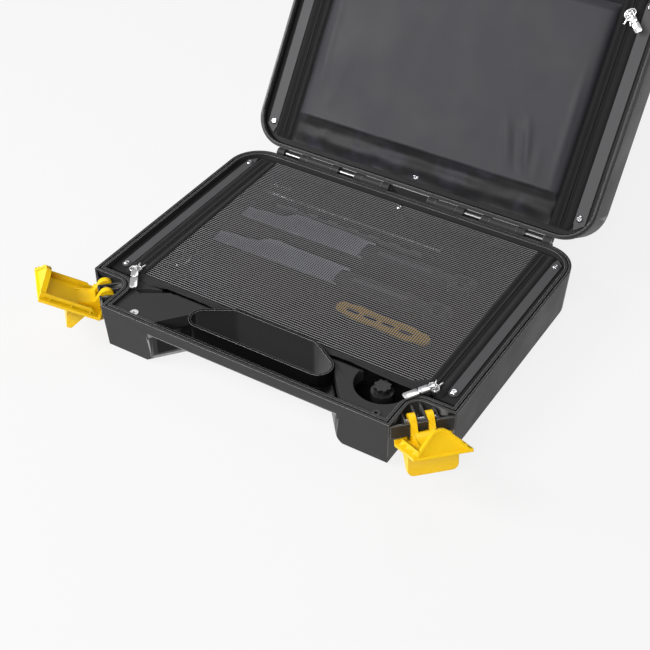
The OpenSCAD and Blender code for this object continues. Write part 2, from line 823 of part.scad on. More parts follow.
// pull tab: an eye on the bow and two chunky links moulded in one
module tab(side, y, turn, length) {
    at_tab(side, y + 4, turn) difference() {
        union() {
            rotate([0, 90, 0]) cylinder(r = eye_r, h = 4, center = true);
            translate([-2, -5, -tab_t / 2]) cube([4, 5, tab_t]);
            translate([-2.8, -length * 0.52, -tab_t / 2]) cube([5.6, length * 0.52 - 5, tab_t]);
            translate([-1.8, -length * 0.6, -tab_t / 2]) cube([3.6, length * 0.1, tab_t]);
            translate([-3, -length, -tab_t / 2]) cube([6, length * 0.4, tab_t]);
        }
        rotate([0, 90, 0]) cylinder(r = bar_d / 2 + pin_gap, h = 20, center = true);
        translate([0, -length + 4, -5]) cylinder(r = 1.3, h = 10);
    }
}

module organizer_board() { color(board_grey) board(rim_w); }
module strip_left() { color(strip_grey) strip(-1, strip_hw); }
module strip_right() { color(strip_grey) strip(1, strip_hw); }
module board_screws() { color(silver) screws(); }
module zip_tape_left() { color(board_grey) zip_tape(-1, slider_y - 1); }
module zip_tape_right() { color(board_grey) zip_tape(1, slider_y - 1); }
module cover_anchor() { color(board_grey) anchor(); }
module zip_slider_left() { color(silver) slider(-1, slider_y, left_tab_turn); }
module zip_slider_right() { color(silver) slider(1, slider_y, tab_turn); }
module pull_tab_left() { color(silver) tab(-1, slider_y, left_tab_turn, left_tab_l); }
module pull_tab_right() { color(silver) tab(1, slider_y, tab_turn, tab_l); }

module mesh_cover() {
    color(black) translate([-mesh_x, back(mesh_front), deck_z - mesh_t + tape_t])
        cube([2 * mesh_x, fold_y - mesh_front, mesh_t]);
}

module cover_hem() {
    color(board_grey) translate([0, 0, deck_z - 0.6]) linear_extrude(1.6) difference() {
        translate([-mesh_x, back(mesh_front - hem_w)]) square([2 * mesh_x, hem_w]);
        finger_hole(hole_lip + 0.6);
    }
}

module cover_tapes() {
    color(board_grey) {
        cover_tape(-1, cover_start);
        cover_tape(1, cover_start);
    }
}

// ---------- latches ----------

// tangent point on a circle round (0, cy), seen from (px, 0)
function arch_side(px, cy, r) =
    let(a = atan2(-cy, px), b = acos(r / norm([px, cy]))) [r * cos(a + b), cy + r * sin(a + b)];

module arch() {
    r = 11;
    cy = latch_arch - r;
    t = arch_side(latch_w / 2, cy, r);
    polygon([[-latch_w / 2, 0], [latch_w / 2, 0], t, [-t[0], t[1]]]);
    translate([0, cy]) circle(r);
}

// drawn in the plane across the pin and extruded along it
module across(w0, w1) {
    translate([w0, 0, 0]) rotate([90, 0, 90]) linear_extrude(w1 - w0) children();
}

fin_top = 35;
fin_low = 13.5;
fin_out = 43.5;
fin_z = 22.5;
fin_hw = 23;
fin_r = 6;
latch_rim = 8;
// inner edge of the ramp between the arms
web_edge = [-8.7, 4.6];

module latch_plate() {
    hw = latch_w / 2;
    translate([0, -latch_t + latch_wall, 0]) rotate([90, 0, 0]) linear_extrude(latch_wall)
        polygon([[-13, -13], [13, -13], [hw, 0.5], [hw, latch_len], [-hw, latch_len], [-hw, 0.5]]);
}

// side walls, the ribs that run on from the arms, and gussets outside the walls
module latch_rims() {
    hw = latch_w / 2;
    rib = hook_pitch / 2 + hook_w / 2;
    wall_w = hw - latch_flange;
    for (m = [0, 1]) mirror([m, 0, 0]) {
        across(wall_w - 2, wall_w) polygon([[-latch_t, 1], [-latch_t + latch_rim, 12],
            [-latch_t + latch_rim, latch_len], [-latch_t, latch_len]]);
        across(rib - 1.6, rib) polygon([[-latch_t, 2], web_edge + [-0.4, 0.6], web_edge + [-1, 3],
            [-latch_t + 6.4, 16], [-latch_t + 4.4, 24], [-latch_t + 1, 30], [-latch_t, 30]]);
        for (u = [11, 31, latch_len - arch_t - 6]) translate([0, -latch_t + 1, u])
            linear_extrude(1.8) polygon([[wall_w - 1, 0], [hw, 0], [hw, 1.6], [wall_w - 1, latch_rim - 2]]);
        translate([0, -latch_t, 0]) rotate([90, 0, 0]) translate([0, 0, -6]) linear_extrude(6)
            polygon([[hw, 1], [hw, 3.4], [15, 0], [13, -3], [13, -6]]);
    }
}

module latch_arms() {
    for (s = [-1, 1]) {
        w0 = s * hook_pitch / 2 - hook_w / 2;
        across(w0, w0 + hook_w) difference() {
            union() {
                circle(hook_r);
                polygon([[0, hook_r], [-10, hook_r + 0.8], [-latch_t + 1, hook_r + 3],
                    [-latch_t + 1, -3], [-13, 1], [-hook_r + 0.4, 1.9], [0, 0]]);
            }
            polygon([[0, 0], [-20 * cos(15), 20 * sin(15)], [-20, -8], [-20 * cos(75), -20 * sin(75)]]
                * 0.45);
        }
    }
    reach = hook_pitch / 2 + hook_w / 2;
    across(-reach, reach) polygon([web_edge, web_edge + [-1, 3], [-latch_t + 7, 13],
        [-latch_t + 4.6, 19], [-latch_t + 2.8, 24], [-latch_t + 1, 24], [-latch_t + 1, -2], [-13.6, 1.4]]);
}

module latch_fin() {
    difference() {
        intersection() {
            across(-fin_hw, fin_hw) polygon([[-latch_t + 0.5, fin_top], [-fin_out, fin_z + 1.2],
                [-fin_out, fin_z - 1.2], [-latch_t + 0.5, fin_low]]);
            linear_extrude(latch_len) rounded_poly([[fin_r - fin_hw, fin_r - fin_out],
                [fin_hw - fin_r, fin_r - fin_out], [fin_hw - fin_r, 0], [fin_r - fin_hw, 0]], fin_r);
        }
        for (w = [-fin_hw + 2, 1]) across(w, w + fin_hw - 3) polygon([[-latch_t - 0.5, fin_top - 4.5],
            [-fin_out + 5, fin_z], [-fin_out + 3, fin_z - 4], [-latch_t - 0.5, fin_low - 2]]);
    }
}

module latch() {
    difference() {
        union() {
            latch_plate();
            latch_rims();
            latch_arms();
            latch_fin();
            translate([0, -latch_t, latch_len - arch_t]) linear_extrude(arch_t) arch();
        }
        translate([0, -latch_t, latch_len - 1.5]) linear_extrude(2) offset(-2.4) arch();
        rotate([0, 90, 0]) cylinder(r = latch_pin_d / 2 + pin_gap, h = 60, center = true);
    }
}

module open_latch(side) {
    at_pivot(side) rotate([latch_open, 0, 0]) latch();
}

module latch_left() { color(yellow) open_latch(-1); }
module latch_right() { color(yellow) open_latch(1); }

module latch_pins() {
    color(silver) for (s = [-1, 1]) at_pivot(s) rotate([0, 90, 0])
        cylinder(d = latch_pin_d, h = 2 * rib_out + rib_t, center = true);
}

// ---------- hinge ----------

module hinge_pins() {
    color(silver) for (m = [0, 1]) mirror([m, 0, 0])
        translate([lid_knuckles[0][0] + 0.3, back(hinge_y), base_h]) rotate([0, 90, 0])
            cylinder(d = hinge_pin_d, h = hinge_end - lid_knuckles[0][0] - 0.6);
}

// ---------- lid, drawn shut and turned open ----------

module opened() {
    translate([0, back(hinge_y), base_h]) rotate([-lid_open, 0, 0])
        translate([0, -back(hinge_y), -base_h]) children();
}

module flipped(h) {
    translate([0, 0, h]) mirror([0, 0, 1]) children();
}

module lid_shell() {
    color(black) opened() difference() {
        union() {
            flipped(base_h + lid_h) {
                intersection() {
                    tub(lid_h, lid_draft, edge_chamfer);
                    linear_extrude(lid_h - rim_gap) square(2 * case_w, center = true);
                }
                corner_brace(0.5, 14, lid_draft + edge_chamfer, false);
                corner_plate(floor_t, lid_draft + edge_chamfer);
            }
            translate([0, 0, base_h + rim_gap]) linear_extrude(5) ring_outline(0.02, lid_rim_w);
            translate([0, 0, base_h - groove_t + tongue_gap]) linear_extrude(groove_t)
                ring_outline(groove_in + tongue_gap, groove_in + groove_w - tongue_gap);
            knuckles(lid_knuckles, true);
            flipped(deck_flip) bosses(screw_spots, deck_flip - base_h - lid_h + floor_t,
                deck_z - deck_t);
        }
        hinge_bore(hinge_pin_d / 2 + pin_gap);
    }
}

// things made for the base organizer, turned over and moved into the lid
module in_lid() {
    opened() flipped(deck_flip) children();
}

module lid_board() { color(board_grey) in_lid() board(lid_rim_w); }
module lid_strip_left() { color(strip_grey) in_lid() strip(-1, lid_strip_hw); }
module lid_strip_right() { color(strip_grey) in_lid() strip(1, lid_strip_hw); }
module lid_screws() { color(silver) in_lid() screws(); }
module lid_zip_tape_left() { color(board_grey) in_lid() zip_tape(-1, lid_slider_y - 1); }
module lid_zip_tape_right() { color(board_grey) in_lid() zip_tape(1, lid_slider_y - 1); }
module lid_anchor() { color(board_grey) in_lid() anchor(); }

// in the lid the tabs hang outwards and towards the hinge
lid_tab_turn = 225;

module lid_slider(side) {
    color(silver) in_lid() slider(side, lid_slider_y, lid_tab_turn);
}

module lid_tab(side) {
    color(silver) in_lid() tab(side, lid_slider_y, lid_tab_turn, lid_tab_l);
}

module lid_slider_left() { lid_slider(-1); }
module lid_slider_right() { lid_slider(1); }
module lid_tab_left() { lid_tab(-1); }
module lid_tab_right() { lid_tab(1); }

module lid_cover() {
    color(board_grey) in_lid() translate([0, 0, deck_z - mesh_t + tape_t]) linear_extrude(mesh_t)
        difference() {
            translate([-mesh_x, back(mesh_front - hem_w)])
                square([2 * mesh_x, fold_y - mesh_front + hem_w]);
            finger_hole(hole_lip + 0.6);
        }
}

module lid_cover_tapes() {
    color(board_grey) in_lid() {
        cover_tape(-1, lid_cover_start);
        cover_tape(1, lid_cover_start);
    }
}

module lid_pocket() {
    color(blue_grey) in_lid() translate([0, 0, deck_z + tape_t]) linear_extrude(3.4)
        rounded_poly([[10 - mesh_x, back(82)], [mesh_x - 10, back(82)],
            [mesh_x - 8, back(fold_y - 13)], [8 - mesh_x, back(fold_y - 13)]], 6);
}

// ---------- tools in the tray ----------

module star_tool() {
    head_t = 3;
    neck_t = 6;
    translate([well[0] - 1, back(well[1]), panel_z - well_t]) color(black) {
        cylinder(d = star_d, h = star_h - neck_t);
        translate([0, 0, star_h - neck_t]) cylinder(d = star_d - 8, h = neck_t);
        difference() {
            translate([0, 0, star_h - head_t]) for (k = [0:7]) rotate([0, 0, 45 * k])
                translate([star_d * 0.29, 0, 0]) cylinder(r = star_d / 11, h = head_t);
            translate([0, 0, star_h - head_t / 3]) cylinder(r = star_d / 11, h = head_t);
        }
    }
}

wrench_z = tray_z + (grip_t - blade_t) / 2 + 0.2;
blade_in = 6;

module at_wrenches() {
    for (k = [0, 1]) translate([0, back(case_d - wrench_in + k * wrench_pitch), 0]) children();
}

// the flat head and neck of a wrench; its end sits in the grip
module blade_outline() {
    l = blade_l - blade_in;
    w = blade_w;
    polygon([[-l, -0.4 * w], [-l, 0.1 * w], [-0.71 * l, 0.25 * w], [-0.64 * l, 0.56 * w],
        [-0.57 * l, 0.6 * w], [blade_in, w / 2], [-2, w / 8], [0, -w / 3], [blade_in, -0.4 * w]]);
}

module grip_groove(g = 0) {
    l = grip_l - blade_in;
    rounded_poly([[0.2 * l, -1.5], [0.8 * l, -1.5], [0.8 * l, 1.5], [0.2 * l, 1.5]], 2 - g);
}

module cone_wrench_blades() {
    color(silver) at_wrenches() translate([0, 0, wrench_z]) linear_extrude(blade_t) blade_outline();
}

module cone_wrench_grips() {
    r = grip_w * 0.3;
    y = grip_w / 2 - r;
    end = grip_l - 20;
    color(black) at_wrenches() translate([0, 0, tray_z]) difference() {
        linear_extrude(grip_t) union() {
            rounded_poly([[blade_in, -y], [end, -y], [end, y], [blade_in, y]], r);
            difference() {
                rounded_poly([[grip_l + 4, -7], [grip_l + 16, -7], [grip_l + 18, 7],
                    [grip_l + 4, 7]], 5);
                rounded_poly([[grip_l + 5, -4], [grip_l + 13, -5], [grip_l + 13, 6],
                    [grip_l + 5, 4]], 2);
            }
            translate([end, -6]) square([grip_l - end + 2, 12]);
        }
        translate([0, 0, grip_t - 1.4]) linear_extrude(3) grip_groove();
        translate([0, 0, wrench_z - tray_z]) linear_extrude(blade_t) blade_outline();
    }
}

module grip_inlays() {
    color(blue_grey) at_wrenches() translate([0, 0, tray_z + grip_t - 1.4])
        linear_extrude(1.7) grip_groove(0.1);
}

module hook_rod() {
    x = -mesh_x + 10;
    color(silver) translate([x, back(fold_y - 14), tray_z + rod_d / 2 + 0.5]) {
        rotate([0, 90, 0]) cylinder(d = rod_d, h = rod_l);
        translate([rod_l - rod_d / 2, 0, 0]) rotate([-90, 0, 0]) cylinder(d = rod_d, h = 4 * rod_d);
        rotate([0, 90, 0]) cylinder(d = rod_d + 1, h = rod_l / 8);
    }
}

module link_strip() {
    color([0.3, 0.3, 0.31]) for (k = [0:link_count - 1])
        translate([-mesh_x + 38 + link_pitch * k, back(fold_y - 30), tray_z])
            linear_extrude(k % 2 == 0 ? 1.6 : 3.2)
                rounded_poly([[0, 0], [link_pitch * 0.63, 0]], link_pitch / 4);
}

module key_ring() {
    color(silver) translate([-mesh_x, back(case_d - 199), tray_z + ring_d / 2]) rotate_extrude()
        translate([ring_r, 0]) circle(d = ring_d);
}

module small_bits() {
    color(silver) for (k = [0:5])
        translate([-mesh_x + 9 + 5 * k, back(fold_y - 4 + 3 * (k % 2)), tray_z])
            cylinder(d = bit_d, h = 5 + k % 3);
}

module oval_tool() {
    l = oval_l / 2;
    y = oval_w / 2 - 7;
    place = [case_w / 2 - oval_in, back(case_d - oval_rear), tray_z];
    color(yellow) translate(place) rotate([0, 0, -2]) difference() {
        linear_extrude(oval_t) rounded_poly([[7 - l, 0], [-0.57 * l, -y], [0.57 * l, -y], [l - 7, 0],
            [0.57 * l, y], [-0.57 * l, y]], 7);
        for (k = [0:3]) translate([l * (0.38 * k - 0.64), 0, -1]) linear_extrude(oval_t + 2)
            rounded_poly([[-5, 0], [5, 0]], 3);
    }
}

base_shell();
foam_tray();
front_panel_left();
front_panel_right();
panel_eyelets();
organizer_board();
strip_left();
strip_right();
board_screws();
zip_tape_left();
zip_tape_right();
cover_anchor();
hinge_pins();
latch_pins();
star_tool();
cone_wrench_blades();
cone_wrench_grips();
grip_inlays();
hook_rod();
link_strip();
key_ring();
small_bits();
oval_tool();
mesh_cover();
cover_hem();
cover_tapes();
zip_slider_left();
zip_slider_right();
pull_tab_left();
pull_tab_right();
latch_left();
latch_right();
lid_shell();
lid_board();
lid_strip_left();
lid_strip_right();
lid_screws();
lid_zip_tape_left();
lid_zip_tape_right();
lid_anchor();
lid_cover();
lid_cover_tapes();
lid_pocket();
lid_slider_left();
lid_slider_right();
lid_tab_left();
lid_tab_right();
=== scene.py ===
import json
import math

import bpy
from mathutils import Matrix, Vector, noise
from mathutils.bvhtree import BVHTree


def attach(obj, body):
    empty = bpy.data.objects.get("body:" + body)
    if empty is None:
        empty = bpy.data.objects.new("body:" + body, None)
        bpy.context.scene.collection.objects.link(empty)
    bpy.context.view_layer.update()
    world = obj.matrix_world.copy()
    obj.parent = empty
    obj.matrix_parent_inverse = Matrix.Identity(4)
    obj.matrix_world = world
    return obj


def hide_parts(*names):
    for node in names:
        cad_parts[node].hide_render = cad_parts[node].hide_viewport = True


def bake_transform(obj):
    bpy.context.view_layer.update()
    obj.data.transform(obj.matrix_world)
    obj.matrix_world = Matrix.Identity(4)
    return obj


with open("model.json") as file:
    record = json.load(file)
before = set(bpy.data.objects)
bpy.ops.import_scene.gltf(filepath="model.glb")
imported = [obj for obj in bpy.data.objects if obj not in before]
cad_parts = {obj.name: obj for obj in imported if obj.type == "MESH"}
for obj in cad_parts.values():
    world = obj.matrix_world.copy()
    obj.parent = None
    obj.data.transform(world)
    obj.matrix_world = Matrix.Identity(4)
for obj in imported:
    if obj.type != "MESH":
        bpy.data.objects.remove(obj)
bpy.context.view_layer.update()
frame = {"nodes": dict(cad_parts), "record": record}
print("frame loaded")

mm = 0.001

case = {
    "depth": 320, "baseHeight": 52, "hingeBack": 5,
    "lidOpen": 124,  # degrees
    "deckZ": 46,  # top of the organizer's board
    "flip": 104,  # the lid's organizer is the base's, turned over about half this height
}
lidTurn = math.radians(case["lidOpen"])


def back(y):
    # a place measured back from the front rim, in mm
    return y - case["depth"] / 2


# camera

camera = {
    "place": (0.5629, -0.9078, 0.8619), "azimuth": 32.003, "elevation": 39.382, "roll": -0.259,
    "lens": 74.17, "sensor": 36, "near": 0.01,
}


def addCamera():
    a, e = math.radians(camera["azimuth"]), math.radians(camera["elevation"])
    away = Vector((math.sin(a) * math.cos(e), -math.cos(a) * math.cos(e), math.sin(e)))
    right = (-away).cross(Vector((0, 0, 1))).normalized()
    up = right.cross(-away)
    r = math.radians(camera["roll"])
    side = right * math.cos(r) + up * math.sin(r)
    top = up * math.cos(r) - right * math.sin(r)
    turn = Matrix((side, top, away)).transposed().to_4x4()
    bpy.ops.object.camera_add(location=camera["place"])
    shot = bpy.context.object
    shot.matrix_world = Matrix.Translation(Vector(camera["place"])) @ turn
    shot.data.sensor_width = camera["sensor"]
    shot.data.sensor_fit = "HORIZONTAL"
    shot.data.lens = camera["lens"]
    shot.data.clip_start = camera["near"]
    bpy.context.scene.camera = shot


addCamera()


# shader nodes, written as sums and products


class Wire:
    # one output of a node
    def __init__(self, finish, socket):
        self.finish = finish
        self.socket = socket

    def math(self, operation, *values):
        return self.finish.node("ShaderNodeMath", {"operation": operation}, dict(enumerate(values)))

    def __add__(self, other):
        return self.math("ADD", self, other)

    def __sub__(self, other):
        return self.math("SUBTRACT", self, other)

    def __rsub__(self, other):
        return self.math("SUBTRACT", other, self)

    def __mul__(self, other):
        return self.math("MULTIPLY", self, other)

    def __gt__(self, other):
        return self.math("GREATER_THAN", self, other)

    def __lt__(self, other):
        return self.math("LESS_THAN", self, other)

    __radd__ = __add__
    __rmul__ = __mul__

    def sine(self):
        return self.math("SINE", self)

    def size(self):
        return self.math("ABSOLUTE", self)

    def wave(self, length):
        # a sine as long as given, in metres
        return (self * (2 * math.pi / length)).sine()


noiseRange = (0.3, 0.7)  # where most of a noise texture's values lie
# the outer edges are painted paler: a painted highlight where edges catch the light, and worn edges
edgeHighlightAndWear = {
    "samples": 6, "turn": (0.998, 0.95), "reach": 0.005, "open": (0.8, 0.95),
    "share": 0.9, "shade": (0.34, 0.34, 0.342),
}


class Finish:
    # a material and its nodes
    def __init__(self, name):
        self.material = bpy.data.materials.new(name)
        self.material.use_nodes = True
        self.tree = self.material.node_tree
        self.tree.nodes.clear()
        self.end = self.tree.nodes.new("ShaderNodeOutputMaterial")

    def node(self, kind, settings=None, values=None, output=0):
        # any node: its settings first, then the values or links of its sockets
        new = self.tree.nodes.new(kind)
        for name, value in (settings or {}).items():
            setattr(new, name, value)
        for socket, value in (values or {}).items():
            if isinstance(value, Wire):
                self.tree.links.new(value.socket, new.inputs[socket])
            else:
                new.inputs[socket].default_value = value
        return Wire(self, new.outputs[output])

    def place(self, turn=(0, 0, 0), scale=(1, 1, 1)):
        spot = self.node("ShaderNodeTexCoord", output="Object")
        if any(turn) or scale != (1, 1, 1):
            spot = self.node("ShaderNodeMapping", {}, {"Vector": spot, "Rotation": turn, "Scale": scale})
        return spot

    def axes(self, spot):
        owner = self.node("ShaderNodeSeparateXYZ", {}, {0: spot}).socket.node
        return [Wire(self, out) for out in owner.outputs]

    def grain(self, spot, scale, detail=2.0):
        return self.node("ShaderNodeTexNoise", {}, {"Vector": spot, "Scale": scale, "Detail": detail})

    def blend(self, factor, first, second):
        full = [(*c, 1) if isinstance(c, tuple) else c for c in (first, second)]
        return self.node("ShaderNodeMix", {"data_type": "RGBA"}, {0: factor, 6: full[0], 7: full[1]}, 2)

    def spread(self, level, low, high, newLow, newHigh):
        return self.node("ShaderNodeMapRange", {}, {0: level, 1: low, 2: high, 3: newLow, 4: newHigh})

    def vary(self, grain, low, high):
        # noise spread over the given values
        return self.spread(grain, *noiseRange, low, high)

    def bevel(self, radius):
        return self.node("ShaderNodeBevel", {"samples": edgeHighlightAndWear["samples"]}, {"Radius": radius})

    def bump(self, height, strength, distance, edge=0.0):
        # surface relief, with the edges softened by the given radius
        values = {"Height": height, "Strength": strength, "Distance": distance}
        if edge:
            values["Normal"] = self.bevel(edge)
        return self.node("ShaderNodeBump", {}, values)

    def highlightAndWear(self, radius):
        # 1 along outer edges, 0 on flats and in corners
        hard = self.node("ShaderNodeNewGeometry", output="True Normal")
        turn = self.node("ShaderNodeVectorMath", {"operation": "DOT_PRODUCT"},
                         {0: self.bevel(radius), 1: hard}, "Value")
        free = self.node("ShaderNodeAmbientOcclusion", {"samples": edgeHighlightAndWear["samples"]},
                         {"Distance": edgeHighlightAndWear["reach"]}, "AO")
        return self.spread(turn, *edgeHighlightAndWear["turn"], 0, 1) * self.spread(free, *edgeHighlightAndWear["open"], 0, 1)

    def surface(self, color, roughness, normal, **fixed):
        values = {"Base Color": color, "Roughness": roughness, "Normal": normal}
        values.update({name.replace("_", " "): value for name, value in fixed.items()})
        shader = self.node("ShaderNodeBsdfPrincipled", {}, values)
        self.tree.links.new(shader.socket, self.end.inputs["Surface"])


def scaled(color, share):
    return tuple(c * share for c in color)


plastic = {
    "spark": 1700, "relief": 0.00012, "clouds": 22, "cloudDetail": 3, "paler": 1.25,
    "smoother": 0.05, "rougher": 0.06, "ior": 1.4,
    # the dark colour inside the grip recess is partly painted shade; the polish makes it smoother
    "paintedHollowShade": (0.004, 0.004, 0.0042), "polish": 0.2,
}


def mouldedPlastic(name, color, roughness, texture, edge=0.0, ior=plastic["ior"], polishedAndShaded=None):
    # fine spark texture with faint cloudy shine
    f = Finish(name)
    spot = f.place()
    fine = f.grain(spot, plastic["spark"])
    broad = f.grain(spot, plastic["clouds"], plastic["cloudDetail"])
    shade = f.blend(broad, color, scaled(color, plastic["paler"]))
    shine = f.vary(broad, roughness - plastic["smoother"], roughness + plastic["rougher"])
    if polishedAndShaded:
        # the grip trough and the finger hole are smoother, and painted darker: partly their glossier black,
        # partly painted shade in the recess
        x, y = f.axes(spot)[:2]
        inside = (y > back(polishedAndShaded["front"]) * mm) * (back(polishedAndShaded["rear"]) * mm > y)
        inside = inside * (polishedAndShaded["half"] * mm > x.size())
        # painted shade: the colour inside the grip recess is darkened
        shade = f.blend(inside, shade, plastic["paintedHollowShade"])
        shine = shine - inside * plastic["polish"]
    if edge:
        # painted highlight and worn paler edges along the outer edges
        shade = f.blend(f.highlightAndWear(edge) * edgeHighlightAndWear["share"], shade, edgeHighlightAndWear["shade"])
    f.surface(shade, shine, f.bump(fine, texture, plastic["relief"], edge), IOR=ior)
    return f.material


foam = {
    "cells": 900, "clouds": 30, "shades": ((0.003, 0.003, 0.0032), (0.006, 0.006, 0.0064)),
    "roughness": 0.9, "relief": (0.5, 0.0002), "shine": 0.06,
}


def foamRubber():
    f = Finish("closedCellFoam")
    spot = f.place()
    cells = f.node("ShaderNodeTexVoronoi", {"feature": "F1"}, {"Vector": spot, "Scale": foam["cells"]})
    shade = f.blend(f.grain(spot, foam["clouds"]), *foam["shades"])
    f.surface(shade, foam["roughness"], f.bump(cells, *foam["relief"]), Specular_IOR_Level=foam["shine"])
    return f.material


weaving = {
    "warp": 0.7, "paler": 1.6, "depth": 0.7, "fuzz": 1300, "relief": (0.6, 0.0002),
    "roughness": 0.75, "shine": 0.2, "sheen": 0.06, "sheenRoughness": 0.5,
}


def wovenTape(name, color, pitch, turn=0.0):
    # ribs across the tape with a fine warp between them
    f = Finish(name)
    x, y = f.axes(f.place((turn, 0, 0)))[:2]
    weave = y.wave(pitch) * x.wave(pitch * weaving["warp"])
    fuzz = f.grain(f.place(), weaving["fuzz"])
    shade = f.blend(f.spread(weave, -1, 1, 0, 1), color, scaled(color, weaving["paler"]))
    f.surface(shade, weaving["roughness"], f.bump(weave * weaving["depth"] + fuzz, *weaving["relief"]),
              Specular_IOR_Level=weaving["shine"], Sheen_Weight=weaving["sheen"],
              Sheen_Roughness=weaving["sheenRoughness"])
    return f.material


satin = {
    "twill": 0.0011, "relief": (0.25, 0.0001), "clouds": 18, "cloudDetail": 3,
    "panel": ((0.014, 0.0135, 0.017), (0.036, 0.035, 0.042)), "roughness": (0.5, 0.62),
    "shine": 0.35, "sheen": 0.1, "sheenRoughness": 0.4,
    "gusset": (0.047, 0.051), "rows": 0.0033, "rowLean": 0.6, "patches": 40, "patchRange": (0.5, 0.65),
    "under": ((0.006, 0.0057, 0.0068), (0.022, 0.02, 0.032)),
}


def satinCloth():
    f = Finish("pocketSatin")
    x, y = f.axes(f.place((lidTurn, 0, 0)))[:2]
    twill = (x + y).wave(satin["twill"])
    slow = f.grain(f.place(), satin["clouds"], satin["cloudDetail"])
    # the gusset behind the fold line is painted darker, painted shade below the fold, with lighter violet
    # weave rows in patches
    x, y, z = f.axes(f.place())
    hingeY, hingeZ = (case["depth"] / 2 + case["hingeBack"]) * mm, case["baseHeight"] * mm
    fromHinge = (y - hingeY) * -math.cos(lidTurn) + (z - hingeZ) * math.sin(lidTurn)
    # painted shade: the colour darkens behind the fold line
    gusset = f.spread(fromHinge, *satin["gusset"], 1, 0)
    patches = f.spread(f.grain(f.place(), satin["patches"]), *satin["patchRange"], 0, 1)
    rows = (x + z * satin["rowLean"]).wave(satin["rows"]) * patches
    panel = f.blend(slow, *satin["panel"])
    under = f.blend(rows.size(), *satin["under"])
    f.surface(f.blend(gusset, panel, under), f.vary(slow, *satin["roughness"]),
              f.bump(twill, *satin["relief"]), Specular_IOR_Level=satin["shine"],
              Sheen_Weight=satin["sheen"], Sheen_Roughness=satin["sheenRoughness"])
    return f.material


metal = {
    "fine": 900, "fineDetail": 3, "clouds": 120, "darker": 0.82, "marks": 0.04, "relief": (0.12, 0.00005),
}


def brightMetal(name, color, roughness, metallic=1.0):
    f = Finish(name)
    spot = f.place()
    fine = f.grain(spot, metal["fine"], metal["fineDetail"])
    f.surface(f.blend(f.grain(spot, metal["clouds"]), color, scaled(color, metal["darker"])),
              f.vary(fine, roughness - metal["marks"], roughness + metal["marks"]),
              f.bump(fine, *metal["relief"]), Metallic=metallic)
    return f.material


eyelets = {
    "left": (0.72, 0.72, 0.73), "right": (0.02, 0.02, 0.021), "roughness": (0.3, 0.4), "metallic": 0.35,
}


def eyeletMetal():
    # the left eyelet is bare metal, the right one is blackened
    f = Finish("eyeletMetal")
    x = f.axes(f.place())[0]
    fine = f.grain(f.place(), metal["fine"], metal["fineDetail"])
    f.surface(f.blend(x > 0, eyelets["left"], eyelets["right"]), f.vary(fine, *eyelets["roughness"]),
              f.bump(fine, *metal["relief"]), Metallic=eyelets["metallic"])
    return f.material


blades = {
    "stretch": (0.04, 1, 1), "lines": 2600, "lineDetail": 3, "clouds": 40, "relief": (0.15, 0.00005),
    "shades": ((0.36, 0.36, 0.41), (0.5, 0.5, 0.57)), "roughness": (0.3, 0.46),
}


def brushedSteel():
    f = Finish("brushedTools")
    lines = f.grain(f.place(scale=blades["stretch"]), blades["lines"], blades["lineDetail"])
    shade = f.blend(f.grain(f.place(), blades["clouds"]), *blades["shades"])
    f.surface(shade, f.vary(lines, *blades["roughness"]), f.bump(lines, *blades["relief"]), Metallic=1.0)
    return f.material


latch = {
    "shades": ((0.88, 0.53, 0.003), (0.94, 0.6, 0.005)), "flow": 35, "flowDetail": 3,
    "roughness": (0.36, 0.45), "fine": 900, "relief": (0.12, 0.0001), "edge": 0.0006, "shine": 0.3,
    "glow": 0.08, "glowReach": (0.004, 0.0025, 0.0008),
}


def latchPlastic():
    f = Finish("latchYellow")
    spot = f.place()
    flow = f.grain(spot, latch["flow"], latch["flowDetail"])
    f.surface(f.blend(flow, *latch["shades"]), f.vary(flow, *latch["roughness"]),
              f.bump(f.grain(spot, latch["fine"]), *latch["relief"], latch["edge"]),
              Specular_IOR_Level=latch["shine"], Subsurface_Weight=latch["glow"],
              Subsurface_Radius=latch["glowReach"], Subsurface_Scale=1.0)
    return f.material


net = {
    "front": 66.5, "rear": 309, "half": 160.6, "z": 46.7, "pitch": (2.5, 2.9), "thread": 0.2, "rise": 0.35,
    "slack": 25,  # how far in from its edges the net starts to hang free
    "wave": 0.35, "waves": ((45, 2.3, 1), (17, 5.1, 0.5)),  # size, seed and share of each
    "billow": 0.4, "billowAt": 95, "billowWidth": 34, "billowLength": 7.5, "billowLean": 0.8,
    "stray": ((70, 7.7, 20),),
    "rowEdge": (0.25, 0.45), "knots": (0.1, 0.5), "glintAtKnots": 0.3, "twist": 0.0006, "relief": (0.3, 0.0001),
    # the pale shade is a painted glint on the threads
    "shades": ((0.006, 0.006, 0.0064), (0.36, 0.36, 0.37)), "roughness": 0.5, "shine": 0.15,
}
netWidth, netLength = 2 * net["half"], net["rear"] - net["front"]
netColumns, netRows = round(netWidth / net["pitch"][0]), round(netLength / net["pitch"][1])


def netThread():
    # the threads along X are painted with highlights, glints in dashes between the knots, the others stay
    # dark
    f = Finish("netThread")
    x, y = f.axes(f.place())[:2]
    row = ((y - back(net["front"]) * mm) * (math.pi * netRows / (netLength * mm))).sine().size()
    dash = ((x + net["half"] * mm) * (math.pi * netColumns / (netWidth * mm))).sine().size()
    # painted highlight: the glint mask of the threads along X
    shine = f.spread(row, *net["rowEdge"], 1, 0) * f.spread(dash, *net["knots"], net["glintAtKnots"], 1)
    twist = (x + y).wave(net["twist"])
    f.surface(f.blend(shine, *net["shades"]), net["roughness"], f.bump(twist, *net["relief"]),
              Specular_IOR_Level=net["shine"])
    return f.material


